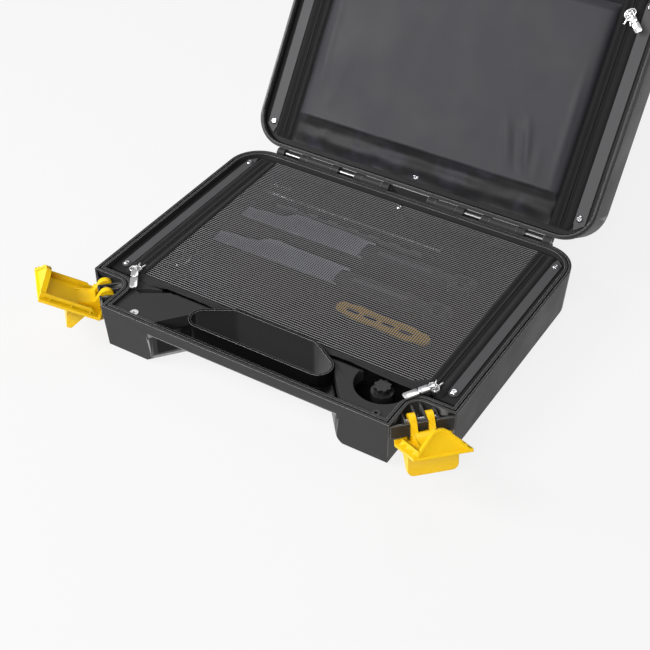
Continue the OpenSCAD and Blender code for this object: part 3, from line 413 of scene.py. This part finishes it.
gripHollow = {"front": 5, "rear": 71, "half": 101}
finishes = {
    "case_black": mouldedPlastic("caseBlack", (0.028, 0.028, 0.0285), 0.45, 0.25, edge=0.0005, ior=1.27,
                                 polishedAndShaded=gripHollow),
    "panel_black": mouldedPlastic("panelBlack", (0.026, 0.026, 0.0265), 0.6, 0.5, ior=1.3),
    "board_black": mouldedPlastic("boardBlack", (0.011, 0.011, 0.0115), 0.6, 0.5, ior=1.3),
    "foam": foamRubber(),
    "strip_grey": mouldedPlastic("stripGrey", (0.062, 0.062, 0.0645), 0.55, 0.5, ior=1.3),
    "tape": wovenTape("zipTape", (0.010, 0.010, 0.011), 0.0009),
    # darker than the base's zip tape: painted shade of the open lid and beside the pocket
    "lid_tape": wovenTape("lidZipTapeShaded", (0.007, 0.007, 0.0076), 0.0009, lidTurn),
    "hem_fabric": wovenTape("hemBinding", (0.014, 0.014, 0.015), 0.0012),
    # dark cloth: painted shade of the open lid and beside the pocket
    "lid_fabric": wovenTape("lidClothShaded", (0.007, 0.007, 0.008), 0.0012, lidTurn),
    "pocket_fabric": satinCloth(),
    "screw_steel": brightMetal("screwSteel", (0.72, 0.72, 0.74), 0.22),
    "zip_metal": brightMetal("zipMetal", (0.8, 0.8, 0.81), 0.25, metallic=0.7),
    "eyelet": eyeletMetal(),
    "pin_steel": brightMetal("pinSteel", (0.45, 0.45, 0.46), 0.35),
    "tool_steel": brushedSteel(),
    "tool_black": mouldedPlastic("toolBlack", (0.014, 0.014, 0.015), 0.4, 0.3),
    "inlay_blue": mouldedPlastic("inlayBlue", (0.07, 0.07, 0.085), 0.5, 0.4),
    "link_steel": brightMetal("linkSteel", (0.12, 0.12, 0.125), 0.4),
    "tool_yellow": mouldedPlastic("toolYellow", (0.5, 0.3, 0.03), 0.42, 0.3),
    "latch_yellow": latchPlastic(),
    "mesh_fabric": netThread(),
}
print("finishes made")


# pieces

bodyOf = {node: body for body, nodes in frame["record"]["behaviour"]["bodies"].items() for node in nodes}
slotOf = {part["node"]: part["material_slot"] for part in frame["record"]["subparts"]}
# nodes whose look isn't that of their slot
ownFinish = {
    "organizer_board": "board_black", "lid_board": "board_black",
    "hook_rod": "screw_steel", "small_bits": "screw_steel", "key_ring": "screw_steel",
}
smoothAngle = {"solid": 40, "cloth": 60, "net": 180}


def only(piece):
    bpy.ops.object.select_all(action="DESELECT")
    piece.select_set(True)
    bpy.context.view_layer.objects.active = piece


def editAll(piece):
    only(piece)
    bpy.ops.object.mode_set(mode="EDIT")
    bpy.ops.mesh.select_all(action="SELECT")


def facedOut(piece):
    editAll(piece)
    bpy.ops.mesh.normals_make_consistent(inside=False)
    bpy.ops.object.mode_set(mode="OBJECT")


def applyAll(piece):
    only(piece)
    for modifier in list(piece.modifiers):
        bpy.ops.object.modifier_apply(modifier=modifier.name)


def settleObject(piece):
    # the place, turn and size of the object go into its mesh
    only(piece)
    bpy.ops.object.transform_apply(location=True, rotation=True, scale=True)


def dressed(piece, finish, kind="cloth"):
    settleObject(piece)
    bpy.ops.object.shade_smooth_by_angle(angle=math.radians(smoothAngle[kind]))
    piece.data.materials.clear()
    piece.data.materials.append(finishes[finish])


def finished(piece, node):
    # a solid piece that looks and moves as its node says
    dressed(piece, ownFinish.get(node, slotOf[node]), "solid")
    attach(piece, bodyOf[node])


rounding = {
    "weld": 0.00001, "flatAngle": 3, "sharpAngle": 35, "steps": 2,
    "shares": (1, 0.7, 0.5, 0.35, 0.25),  # of the wanted radius, tried in turn
    "astray": 1.05, "foldShare": 0.02, "foldArea": 2e-7,
    # wanted radius in mm
    "radius": {
        "base_shell": 0.7, "lid_shell": 0.7, "foam_tray": 1.0, "front_panel_left": 1.0,
        "front_panel_right": 1.0, "panel_eyelets": 0.2, "organizer_board": 0.4, "strip_left": 0.5,
        "strip_right": 0.5, "board_screws": 0.15, "hinge_pins": 0, "latch_pins": 0, "star_tool": 0.5,
        "cone_wrench_blades": 0.3, "cone_wrench_grips": 1.0, "grip_inlays": 0.3, "hook_rod": 0,
        "link_strip": 0.3, "key_ring": 0, "small_bits": 0.3, "oval_tool": 0.5, "latch_left": 0.5,
        "latch_right": 0.5, "lid_board": 0.4, "lid_strip_left": 0.5, "lid_strip_right": 0.5,
        "lid_screws": 0.15,
    },
}


def sharpEdges(mesh):
    # edges between two faces that meet at more than the sharp angle
    beside = {}
    for face in mesh.polygons:
        for key in face.edge_keys:
            beside.setdefault(key, []).append(face.normal)
    sharp = set()
    for edge in mesh.edges:
        faces = beside.get(tuple(sorted(edge.vertices)), [])
        if len(faces) == 2 and faces[0].angle(faces[1], 0) > math.radians(rounding["sharpAngle"]):
            sharp.add(edge.index)
    return sharp


def beveled(piece, sharp, width):
    # a copy with the sharp edges rounded
    trial = bpy.data.objects.new(piece.name, piece.data.copy())
    bpy.context.collection.objects.link(trial)
    weight = trial.data.attributes.new("bevel_weight_edge", "FLOAT", "EDGE")
    weight.data.foreach_set("value", [float(e.index in sharp) for e in trial.data.edges])
    bevel = trial.modifiers.new("rounding", "BEVEL")
    bevel.width = width
    bevel.segments = rounding["steps"]
    bevel.limit_method = "WEIGHT"
    bevel.use_clamp_overlap = False
    bevel.miter_outer = "MITER_ARC"
    applyAll(trial)
    return trial


def folded(mesh):
    # a face has folded over if its triangles don't add up to it
    mesh.calc_loop_triangles()
    sums = [0.0] * len(mesh.polygons)
    for triangle in mesh.loop_triangles:
        sums[triangle.polygon_index] += triangle.area
    return any(abs(sums[f.index] - f.area) > max(rounding["foldShare"] * f.area, rounding["foldArea"])
               for f in mesh.polygons)


def roundEdges(piece, node, width):
    # the widest rounding that neither shoots away from the old surface nor folds a face
    shape = BVHTree.FromObject(frame["nodes"][node], bpy.context.evaluated_depsgraph_get())
    sharp = sharpEdges(piece.data)
    for share in rounding["shares"]:
        trial = beveled(piece, sharp, width * share)
        reach = rounding["astray"] * width * share
        astray = any(shape.find_nearest(v.co)[3] > reach for v in trial.data.vertices)
        if not astray and not folded(trial.data):
            print(node, "edges rounded by", round(width * share / mm, 2), "mm")
            bpy.data.objects.remove(piece)
            return trial
        bpy.data.objects.remove(trial)
    print(node, "edges left to the finish")
    return piece


def softened(node, width):
    # the node's own shape with its edges rounded
    piece = bpy.data.objects.new(node + "Shape", frame["nodes"][node].data.copy())
    bpy.context.collection.objects.link(piece)
    editAll(piece)
    bpy.ops.mesh.remove_doubles(threshold=rounding["weld"])
    bpy.ops.mesh.dissolve_limited(angle_limit=math.radians(rounding["flatAngle"]))
    bpy.ops.object.mode_set(mode="OBJECT")
    if width:
        piece = roundEdges(piece, node, width * mm)
        piece.name = node + "Shape"
    finished(piece, node)
    flats = piece.modifiers.new("flats", "WEIGHTED_NORMAL")
    flats.keep_sharp = True
    applyAll(piece)
    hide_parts(node)


for node, width in rounding["radius"].items():
    softened(node, width)
print("shells and parts rounded")


# places and curves that the soft pieces and the zips share


def inBase(x, y, z):
    return Vector((x, back(y), z)) * mm


def inLid(x, y, z):
    # a place of the organizer, as it lies in the open lid
    half, hinge, rim = case["depth"] / 2, case["hingeBack"], case["baseHeight"]
    spot = Matrix.Rotation(-lidTurn, 3, "X") @ Vector((x, y - 2 * half - hinge, case["flip"] - z - rim))
    return (spot + Vector((0, half + hinge, rim))) * mm


def ripple(x, y, size, seed=0.0):
    # smooth noise between -1 and 1
    return noise.noise(Vector((x / size + seed, y / size - seed * 0.7, seed)))


def waves(x, y, layers):
    # layers of ripples, each with its size, seed and height
    return sum(height * ripple(x, y, size, seed) for size, seed, height in layers)


def smooth(low, high, value):
    t = min(1, max(0, (value - low) / (high - low)))
    return t * t * (3 - 2 * t)


def bell(value, middle, width):
    return math.exp(-(((value - middle) / width) ** 2))


def along(points, x):
    # a smooth run through heights given at places
    for (a, low), (b, high) in zip(points, points[1:]):
        if x <= b:
            return low + (high - low) * smooth(0, 1, (x - a) / (b - a))
    return points[-1][1]


# zip sliders and pull tabs

zipper = {
    "x": 170, "y": 62, "lidY": 80, "pull": {"left": (34, 34), "right": (-30, 32)},  # turn and length
    "lidTurn": -225, "lidLength": 22,
    "plateLow": 48.5, "plateTop": 49.6,
    "plate": [(3.0, 0.2), (4.5, 2.0), (4.5, 6.6), (3.2, 9.2), (3.4, 12), (4.2, 15.8), (2.6, 15.8),
              (1.4, 11.2)],
    "wall": [(0.45, 1.8), (0.45, 6.6)], "wallBelow": 1.3, "wallAbove": 0.3, "wallX": 4.0, "wallEdge": 0.1,
    "prong": [(0.6, 10.2), (0.75, 13), (0.5, 15.6)], "prongBelow": 0.2, "prongAbove": 0.7, "prongX": 2.2,
    "prongLean": 0.22, "prongEdge": 0.25,
    "ring": (6.0, 4.2), "tube": 0.75, "ringHeight": 51.3, "ringSteps": 32, "tubeSteps": 10,
    "bar": 53.4, "barAt": 4, "barRadius": 0.75, "barReach": 3.4, "barEdge": 0.25, "barSteps": 20,
    "cheek": [(0.55, 1.5), (0.55, -1.5)], "cheekBelow": 0.3, "cheekAbove": 1.1, "cheekX": 3.35,
    "edge": 0.3, "linkEdge": 0.45, "edgeSteps": 2,
    "neck": [(1.4, 1.2), (1.4, -5.6)], "neckHalf": 0.8,
    # along a link, what lies below the limit is in mm and the rest is a share of the tab's length
    "shareFrom": -1.5,
    "firstLink": [(3.2, -5.2), (3.8, -6.2), (3.8, -0.44), (2.9, -0.48)], "firstHeights": (-1.1, 1.1),
    "waist": [(2.1, -0.44), (2.1, -0.55)], "waistHeights": (-0.9, 0.3),
    "lastLink": [(2.9, -0.52), (3.9, -0.56), (3.9, -0.95), (2.8, -1)], "lastHeights": (-1.1, 0.9),
    "eye": (1.35, 0.45), "eyeWide": 4,
}


def plate(half, low, high, edge=zipper["edge"]):
    # a flat piece, even about its middle, with half of its outline given in order
    outline = half + [(-x, y) for x, y in reversed(half)]
    bpy.ops.object.select_all(action="DESELECT")
    bpy.ops.mesh.primitive_circle_add(vertices=len(outline), radius=1, fill_type="NGON")
    piece = bpy.context.object
    for v, (x, y) in zip(piece.data.vertices, outline):
        v.co = Vector((x, y, low)) * mm
    editAll(piece)
    bpy.ops.mesh.extrude_region_move(TRANSFORM_OT_translate={"value": (0, 0, (high - low) * mm)})
    bpy.ops.object.mode_set(mode="OBJECT")
    facedOut(piece)
    edges = piece.modifiers.new("edges", "BEVEL")
    edges.width = edge * mm
    edges.segments = zipper["edgeSteps"]
    applyAll(piece)
    return piece


def crossBar():
    # a short round bar with eased ends
    bpy.ops.object.select_all(action="DESELECT")
    bpy.ops.mesh.primitive_cylinder_add(
        vertices=zipper["barSteps"], radius=zipper["barRadius"] * mm, depth=2 * zipper["barReach"] * mm,
        location=(0, 0, zipper["bar"] * mm), rotation=(0, math.pi / 2, 0))
    piece = bpy.context.object
    ends = piece.modifiers.new("ends", "BEVEL")
    ends.width = zipper["barEdge"] * mm
    ends.limit_method = "ANGLE"
    ends.segments = zipper["edgeSteps"]
    applyAll(piece)
    settleObject(piece)
    return piece


def ring(across, along, tube, height):
    # a flat oval ring of round wire
    bpy.ops.object.select_all(action="DESELECT")
    bpy.ops.mesh.primitive_torus_add(
        major_radius=across * mm, minor_radius=tube * mm, major_segments=zipper["ringSteps"],
        minor_segments=zipper["tubeSteps"], location=(0, 0, height * mm))
    piece = bpy.context.object
    settleObject(piece)
    for v in piece.data.vertices:
        out = math.hypot(v.co.x, v.co.y)
        v.co.y -= v.co.y / out * (across - along) * mm
    return piece


def aside(piece, edge, shift, lean=0.0, start=0.0):
    # moved to one side, further where it lies further along
    for v in piece.data.vertices:
        v.co.x += edge * (shift + lean * (v.co.y / mm - start)) * mm
    return piece


def joined(pieces):
    bpy.ops.object.select_all(action="DESELECT")
    for one in pieces:
        one.select_set(True)
    bpy.context.view_layer.objects.active = pieces[0]
    bpy.ops.object.join()
    return pieces[0]


def settled(piece, home, x, y, turn=0.0):
    # from the piece's own frame to its place on the zip
    a = math.radians(turn)
    for v in piece.data.vertices:
        px, py, pz = v.co / mm
        v.co = home(x + px * math.cos(a) - py * math.sin(a), y + px * math.sin(a) + py * math.cos(a), pz)
    facedOut(piece)
    return piece


def addSlider(node, side, y, turn, home):
    low, top, bar, x = zipper["plateLow"], zipper["plateTop"], zipper["bar"], side * zipper["x"]
    body = [plate(zipper["plate"], low, top)]
    for edge in (-1, 1):
        wall = plate(zipper["wall"], low - zipper["wallBelow"], low + zipper["wallAbove"], zipper["wallEdge"])
        prong = plate(zipper["prong"], top - zipper["prongBelow"], top + zipper["prongAbove"],
                      zipper["prongEdge"])
        body += [aside(wall, edge, zipper["wallX"]),
                 aside(prong, edge, zipper["prongX"], zipper["prongLean"], zipper["prong"][0][1])]
    settled(joined(body), home, x, y)
    bow = [ring(*zipper["ring"], zipper["tube"], zipper["ringHeight"]), crossBar()]
    for edge in (-1, 1):
        cheek = plate(zipper["cheek"], top - zipper["cheekBelow"], bar + zipper["cheekAbove"])
        bow.append(aside(cheek, edge, zipper["cheekX"]))
    settled(joined(bow), home, x, y + zipper["barAt"], turn)
    piece = joined([body[0], bow[0]])
    piece.name = node + "Shape"
    finished(piece, node)
    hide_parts(node)


def addTab(node, side, y, turn, length, home):
    # an eye on the bar, a neck, and a waist between two chunky links
    bar = zipper["bar"]

    def link(part, heights, edge):
        outline = [(x, y if y < zipper["shareFrom"] else y * length) for x, y in zipper[part]]
        low, high = zipper[heights]
        return plate(outline, bar + low, bar + high, edge)

    parts = [plate(zipper["neck"], bar - zipper["neckHalf"], bar + zipper["neckHalf"]),
             link("firstLink", "firstHeights", zipper["linkEdge"]),
             link("waist", "waistHeights", zipper["edge"]),
             link("lastLink", "lastHeights", zipper["linkEdge"])]
    radius, tube = zipper["eye"]
    eye = ring(radius, radius, tube, 0)
    for v in eye.data.vertices:
        v.co = Vector((v.co.z * zipper["eyeWide"], v.co.x, v.co.y + bar * mm))
    piece = joined(parts + [eye])
    settled(piece, home, side * zipper["x"], y + zipper["barAt"], turn)
    piece.name = node + "Shape"
    finished(piece, node)
    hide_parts(node)


for side, name in ((-1, "left"), (1, "right")):
    turn, length = zipper["pull"][name]
    lidPull = zipper["lidTurn"] * side
    addSlider("zip_slider_" + name, side, zipper["y"], turn, inBase)
    addTab("pull_tab_" + name, side, zipper["y"], turn, length, inBase)
    addSlider("lid_slider_" + name, side, zipper["lidY"], lidPull, inLid)
    addTab("lid_tab_" + name, side, zipper["lidY"], lidPull, zipper["lidLength"], inLid)
print("sliders and tabs made")


# soft pieces: the net, its hem, the zip bands and the cloth in the lid

fold = {"rear": 292, "front": 278, "above": 0.8}  # where the covers bend


def clothGrid(name, grid, shape, home, thickness):
    # a sheet laid to the shape, which is given places from 0 to 1 each way
    bpy.ops.object.select_all(action="DESELECT")
    bpy.ops.mesh.primitive_grid_add(x_subdivisions=grid[0], y_subdivisions=grid[1], size=1)
    piece = bpy.context.object
    piece.name = name
    for v in piece.data.vertices:
        v.co = home(*shape(v.co.x + 0.5, v.co.y + 0.5))
    wall = piece.modifiers.new("cloth", "SOLIDIFY")
    wall.thickness = thickness * mm
    wall.offset = 0
    applyAll(piece)
    facedOut(piece)
    return piece


def across(piece, still, moving, home):
    # cloth across the fold: its place goes into its mesh
    z = case["deckZ"] + fold["above"]
    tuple(home(0, fold["rear"], z))
    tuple(home(0, fold["front"], z))
    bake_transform(piece)


def netHeight(x, y):
    # the net hangs in slow waves and billows near its front
    slack = smooth(0, net["slack"], min(net["half"] - abs(x), y - net["front"], net["rear"] - y))
    near = bell(y, net["billowAt"], net["billowWidth"])
    phase = (x * net["billowLean"] - y + waves(x, y, net["stray"])) / net["billowLength"]
    return slack * net["wave"] * waves(x, y, net["waves"]) + slack * near * net["billow"] * math.sin(phase)


def addNet():
    bpy.ops.object.select_all(action="DESELECT")
    bpy.ops.mesh.primitive_grid_add(x_subdivisions=netColumns, y_subdivisions=netRows, size=1)
    piece = bpy.context.object
    piece.name = "netPanel"
    piece.scale = (netColumns, netRows, 1)
    settleObject(piece)
    knots = len(piece.data.vertices)
    editAll(piece)
    bpy.ops.mesh.inset(use_individual=True, thickness=net["thread"])
    bpy.ops.mesh.delete(type="FACE")
    bpy.ops.object.mode_set(mode="OBJECT")
    for i, v in enumerate(piece.data.vertices):
        x = v.co.x / netColumns * netWidth
        y = (v.co.y / netRows + 0.5) * netLength + net["front"]
        lift = net["rise"] if i < knots else 0
        v.co = inBase(x, y, net["z"] + lift + netHeight(x, y))
    dressed(piece, "mesh_fabric", "net")
    area = sum(p.area for p in piece.data.polygons)
    across(piece, "base", "mesh_flap", inBase)
    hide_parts("mesh_cover", "cover_anchor")
    netWidth * mm
    netLength * mm
    print("net made, open share", round(1 - area / (netWidth * netLength * mm * mm), 3))


addNet()

band = {
    "zipX": 170, "front": 58.5, "rear": 309, "cloth": 0.4, "grid": (22, 140), "foot": 46.4,
    "fixed": 11.6, "moving": 10.6, "lidMoving": 9.6,  # how far the bands reach from the zip
    "behind": 2.5, "lidRelief": 0.7,
    "seeds": {"fixed": 1.3, "moving": 4.2, "lidFixed": 7.3, "lidMoving": 2.6},
    # height beside the slit, from the slit outwards
    "profile": [(0.3, 47.0), (0.5, 47.7), (1.2, 48.1), (1.9, 47.6), (2.4, 46.95), (4.3, 46.9), (5.6, 47.7),
                (7.2, 48.4), (8.8, 48.3), (10.2, 47.4), (11.2, 46.4)],
    "coil": 4.3,  # beyond this the profile is stretched to the band's own width
    "outer": (5, 9), "ends": (-0.5, 5), "ripple": (0.35, 14), "edge": (0.35, 11), "edgeFrom": 0.8,
    "pull": 2.2, "pullLength": 6, "pullFrom": 0.5,
    "flatSpare": 1.12,  # the weave's ripple takes up this much width
}


def addBand(name, side, reach, front, home, finish, seed, relief=1.0):
    slit, wide = band["profile"][0][0], abs(reach)
    stretch = (band["profile"][-1][0] - band["coil"]) / (wide - band["coil"])

    def shape(u, v):
        d = slit + (wide - slit) * u
        y = front + (band["rear"] - front) * v
        fromEnd = min(y - front, band["rear"] - y)
        ends = smooth(*band["ends"], fromEnd)
        onProfile = d if d < band["coil"] else band["coil"] + (d - band["coil"]) * stretch
        z = band["foot"] + (along(band["profile"], onProfile) - band["foot"]) * ends * relief
        height, size = band["ripple"]
        z += smooth(*band["outer"], d) * ends * height * ripple(seed * 9, y, size, seed)
        height, size = band["edge"]
        wobble = height * smooth(band["edgeFrom"], 1, u) * ripple(y, seed, size, seed)
        pull = (1 - smooth(0, band["pullLength"], fromEnd)) * band["pull"] * smooth(band["pullFrom"], 1, u)
        return side * (band["zipX"] + math.copysign(d + wobble - pull, reach)), y, z

    piece = clothGrid(name, band["grid"], shape, home, band["cloth"])
    dressed(piece, finish)
    width, length = (wide - slit) * mm, (band["rear"] - front) * mm
    width * band["flatSpare"]
    return piece


for side, name in ((-1, "Left"), (1, "Right")):
    front, rear, relief = band["front"], band["front"] + band["behind"], band["lidRelief"]
    seeds = {part: seed + side for part, seed in band["seeds"].items()}
    piece = addBand("zipBandFixed" + name, side, band["fixed"], rear, inBase, "tape", seeds["fixed"])
    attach(piece, "base")
    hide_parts("zip_tape_" + name.lower())
    piece = addBand("zipBandMoving" + name, side, -band["moving"], front, inBase, "tape", seeds["moving"])
    across(piece, "base", "mesh_flap", inBase)
    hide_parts("cover_tapes")
    piece = addBand("lidBandFixed" + name, side, band["fixed"], rear, inLid, "lid_tape", seeds["lidFixed"],
                    relief)
    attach(piece, "lid")
    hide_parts("lid_zip_tape_" + name.lower())
    piece = addBand("lidBandMoving" + name, side, -band["lidMoving"], front, inLid, "lid_tape",
                    seeds["lidMoving"], relief)
    across(piece, "lid", "lid_flap", inLid)
    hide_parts("lid_cover_tapes")
print("zip bands made")

hem = {
    "back": 67.6, "half": 161.5, "foot": 46.7, "top": 48.5, "cloth": 0.5, "grid": (260, 12),
    "meanWidth": 0.0085,  # in metres, for its flat area
    "cornerX": 42, "cornerY": 50.5, "cornerR": 15.2,
    "hole": (52, 74),  # across, from where the hem is behind the finger hole to where it is free
    "narrow": 1.1, "low": 0.75, "flare": 11, "flareFrom": 138,
    "start": 0.12, "round": 0.7, "tuck": 0.7, "tuckTo": 0.2, "liftTo": 0.7, "ripple": (0.3, 16, 8.8),
    # front edge and its lift from the panel, at places across
    "edge": [(-161.5, 57), (-150, 54.2), (-142, 53.4), (-134, 55.3), (-124, 58.6), (-115, 59.8),
             (-105, 59.6), (-95, 58.7), (-84, 57.6), (-77, 58), (77, 58.8), (95, 59.5), (118, 58.4),
             (140, 57.2), (161.5, 58)],
    "lift": [(-161.5, 0), (-150, 1.2), (-138, 2.1), (-126, 1.4), (-114, 0.1), (-104, 0.4), (-92, 2.0),
             (-80, 2.4), (-70, 1.2), (-60, 0), (60, 0), (72, 1.6), (84, 1.9), (96, 0.6), (118, 0.2),
             (140, 0.5), (161.5, 0)],
}


def hemFront(x):
    # the edge keeps clear of the finger hole
    edge = along(hem["edge"], x)
    x = abs(x)
    if x < hem["cornerX"]:
        return hem["cornerY"] + hem["cornerR"]
    reach = hem["cornerR"] ** 2 - (x - hem["cornerX"]) ** 2
    curve = hem["cornerY"] + math.sqrt(reach) if reach > 0 else 0
    return max(curve, edge)


def addHem():
    def shape(u, v):
        x = (2 * u - 1) * hem["half"]
        front = hemFront(x)
        hole = 1 - smooth(*hem["hole"], abs(x))
        flare = hem["flare"] * smooth(hem["flareFrom"], hem["half"], x) ** 2
        rear = hem["back"] - hem["narrow"] * hole + flare
        y = front + (rear - front) * v
        rise = (hem["top"] - hem["foot"]) * (1 - hem["low"] * hole)
        arc = min(1, hem["start"] + v * (1 - hem["start"]))
        z = hem["foot"] + rise * math.sin(math.pi * arc) ** hem["round"]
        z -= hem["tuck"] * (1 - smooth(0, hem["tuckTo"], v)) * (1 - hole)
        z += along(hem["lift"], x) * (1 - smooth(0, hem["liftTo"], v))
        height, size, seed = hem["ripple"]
        z += height * ripple(x, y, size, seed) * math.sin(math.pi * v) * (1 - hole)
        return x, y, z

    piece = clothGrid("netHem", hem["grid"], shape, inBase, hem["cloth"])
    dressed(piece, "hem_fabric")
    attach(piece, "mesh_flap")
    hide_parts("cover_hem")


addHem()

lidCover = {
    "half": 161, "front": 58, "short": 0.2, "rear": 309, "z": 46.5, "cloth": 0.5, "grid": (160, 130),
    "waves": ((30, 6.1, 0.25),), "edge": 9, "edgeRise": 0.8,
}


def addLidCover():
    # plain cloth of the lid, under the pocket
    def shape(u, v):
        x = (2 * u - 1) * lidCover["half"]
        front = max(hemFront(x), lidCover["front"]) - lidCover["short"]
        y = front + (lidCover["rear"] - front) * v
        z = lidCover["z"] + waves(x, y, lidCover["waves"])
        if y - front < lidCover["edge"]:
            z += lidCover["edgeRise"] * math.sin(math.pi * min(1, (y - front) / lidCover["edge"]))
        return x, y, z

    piece = clothGrid("lidCoverCloth", lidCover["grid"], shape, inLid, lidCover["cloth"])
    dressed(piece, "lid_fabric")
    across(piece, "lid", "lid_flap", inLid)
    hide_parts("lid_cover", "lid_anchor")


addLidCover()

pocket = {
    "half": 157.5, "front": 77, "crease": 276, "rear": 309.3, "height": 7.5, "foot": 46.9, "thin": 0.2,
    "cloth": 0.4, "grid": (180, 150), "gather": 1.6,
    "sides": (22, 0.55), "frontRise": (-1, 9), "frontRound": 0.7, "waves": ((60, 3.3, 0.9), (21, 6.7, 0.35)),
    "ridge": (1.2, 0.7),
    # behind the crease: t runs from 0 there to 1 at the rear
    "drop": 0.8, "slope": 0.9, "ease": 0.6, "puffs": ((34, 9.3, 1.9), (13, 1.2, 0.8)),
    "dip": (0.28, 0.18, -2.6), "dipShare": 0.7, "dipWaves": ((48, 4.4, 0.6),), "swell": (0.66, 0.2, 1.6),
    # soft folds: x, y, length, width, height, lean
    "folds": [
        (147, 215, 130, 4.0, 1.3, 0.02), (112, 240, 52, 4.5, 2.2, 0.25), (99, 243, 46, 4.5, -1.4, 0.3),
        (88, 240, 50, 5.0, 1.3, 0.3), (127, 256, 40, 6.0, 1.1, 0.1), (-60, 150, 90, 16, 0.8, -0.35),
        (30, 190, 110, 18, 0.7, 0.25), (-120, 230, 60, 9, 1.0, -0.15), (-143, 190, 120, 5, 1.0, 0.03),
    ],
}


def panelHeight(x, y):
    low, high = [pocket["front"] + v for v in pocket["frontRise"]]
    top = pocket["height"] * smooth(low, high, y) ** pocket["frontRound"] + waves(x, y, pocket["waves"])
    for foldX, foldY, length, width, height, lean in pocket["folds"]:
        away = x - foldX - lean * (y - foldY)
        top += height * math.exp(-((away / width) ** 2) - ((y - foldY) / (length / 2)) ** 4)
    return top


def gussetHeight(x, y):
    t = (y - pocket["crease"]) / (pocket["rear"] - pocket["crease"])
    middle, width, height = pocket["dip"]
    dip = height * bell(t, middle, width) * (pocket["dipShare"] + waves(x, 0, pocket["dipWaves"]))
    middle, width, height = pocket["swell"]
    swell = height * bell(t, middle, width)
    loose = (waves(x, y, pocket["puffs"]) + dip + swell) * math.sin(math.pi * min(1, t)) ** pocket["ease"]
    return (pocket["height"] - pocket["drop"]) * (1 - t) ** pocket["slope"] + loose


def spreadOut(t):
    # more of the points near both ends
    return math.copysign(1 - (1 - abs(t)) ** pocket["gather"], t)


def addPocket():
    def shape(u, v):
        x = pocket["half"] * spreadOut(2 * u - 1)
        y = pocket["front"] + (pocket["rear"] - pocket["front"]) * v
        steep, rounded = pocket["sides"]
        side = max(0.0, 1 - abs(x / pocket["half"]) ** steep) ** rounded
        top = panelHeight(x, y) if y <= pocket["crease"] else gussetHeight(x, y)
        width, height = pocket["ridge"]
        ridge = height * bell(y, pocket["crease"], width)
        return x, y, pocket["foot"] + max(pocket["thin"], (top + ridge) * side)

    piece = clothGrid("lidPocketCloth", pocket["grid"], shape, inLid, pocket["cloth"])
    dressed(piece, "pocket_fabric")
    across(piece, "lid", "lid_flap", inLid)
    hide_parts("lid_pocket")


addPocket()
print("cloth made")


# floor, light and background

light = {"paper": 0.93, "own": 0.9, "world": 0.16, "air": 0.9, "matt": 0.8, "floor": 14}


def flatGrey(level):
    return (level, level, level, 1)


def addFloor():
    # pale to the eye and in reflections, matt where it takes a shadow
    bpy.ops.mesh.primitive_plane_add(size=light["floor"], location=(0, 0, 0))
    floor = bpy.context.object
    floor.name = "floor"
    f = Finish("paleFloor")
    path = f.node("ShaderNodeLightPath").socket.node
    direct, mirrored = Wire(f, path.outputs["Is Camera Ray"]), Wire(f, path.outputs["Is Glossy Ray"])
    seen = direct.math("MAXIMUM", direct, mirrored)
    matt = f.node("ShaderNodeBsdfDiffuse", {}, {"Color": flatGrey(light["matt"])})
    paper = f.node("ShaderNodeEmission", {}, {"Color": flatGrey(light["paper"]), "Strength": 1.0})
    mixed = f.node("ShaderNodeMixShader", {}, {0: seen * light["own"], 1: matt, 2: paper})
    f.tree.links.new(mixed.socket, f.end.inputs["Surface"])
    floor.data.materials.append(f.material)


def addWorld():
    world = bpy.data.worlds.new("studio")
    bpy.context.scene.world = world
    world.use_nodes = True
    tree = world.node_tree
    tree.nodes.clear()
    out = tree.nodes.new("ShaderNodeOutputWorld")
    path = tree.nodes.new("ShaderNodeLightPath")
    soft = tree.nodes.new("ShaderNodeBackground")
    soft.inputs["Color"].default_value = flatGrey(light["air"])
    soft.inputs["Strength"].default_value = light["world"]
    plain = tree.nodes.new("ShaderNodeBackground")
    plain.inputs["Color"].default_value = flatGrey(light["paper"])
    mixed = tree.nodes.new("ShaderNodeMixShader")
    tree.links.new(path.outputs["Is Camera Ray"], mixed.inputs[0])
    tree.links.new(soft.outputs[0], mixed.inputs[1])
    tree.links.new(plain.outputs[0], mixed.inputs[2])
    tree.links.new(mixed.outputs[0], out.inputs["Surface"])


lamps = {
    "aim": (0, 0, 0.03),
    "key": {"place": (-1.3, -1.0, 1.3), "size": 1.0, "power": 40},
    "fill": {"place": (0.5, -1.75, 1.4), "size": 1.0, "power": 30},
    "top": {"place": (-0.3, 1.2, 2.0), "size": 1.2, "power": 13},
}


def addLamps():
    for name in ("key", "fill", "top"):
        lamp = lamps[name]
        bpy.ops.object.light_add(type="AREA", location=lamp["place"])
        one = bpy.context.object
        one.name = name
        one.data.size = lamp["size"]
        one.data.energy = lamp["power"]
        aim = Vector(lamps["aim"]) - Vector(lamp["place"])
        one.rotation_euler = aim.to_track_quat("-Z", "Y").to_euler()


addFloor()
addWorld()
addLamps()
bpy.context.scene.view_settings.view_transform = "Standard"
print("stage and lamps set")
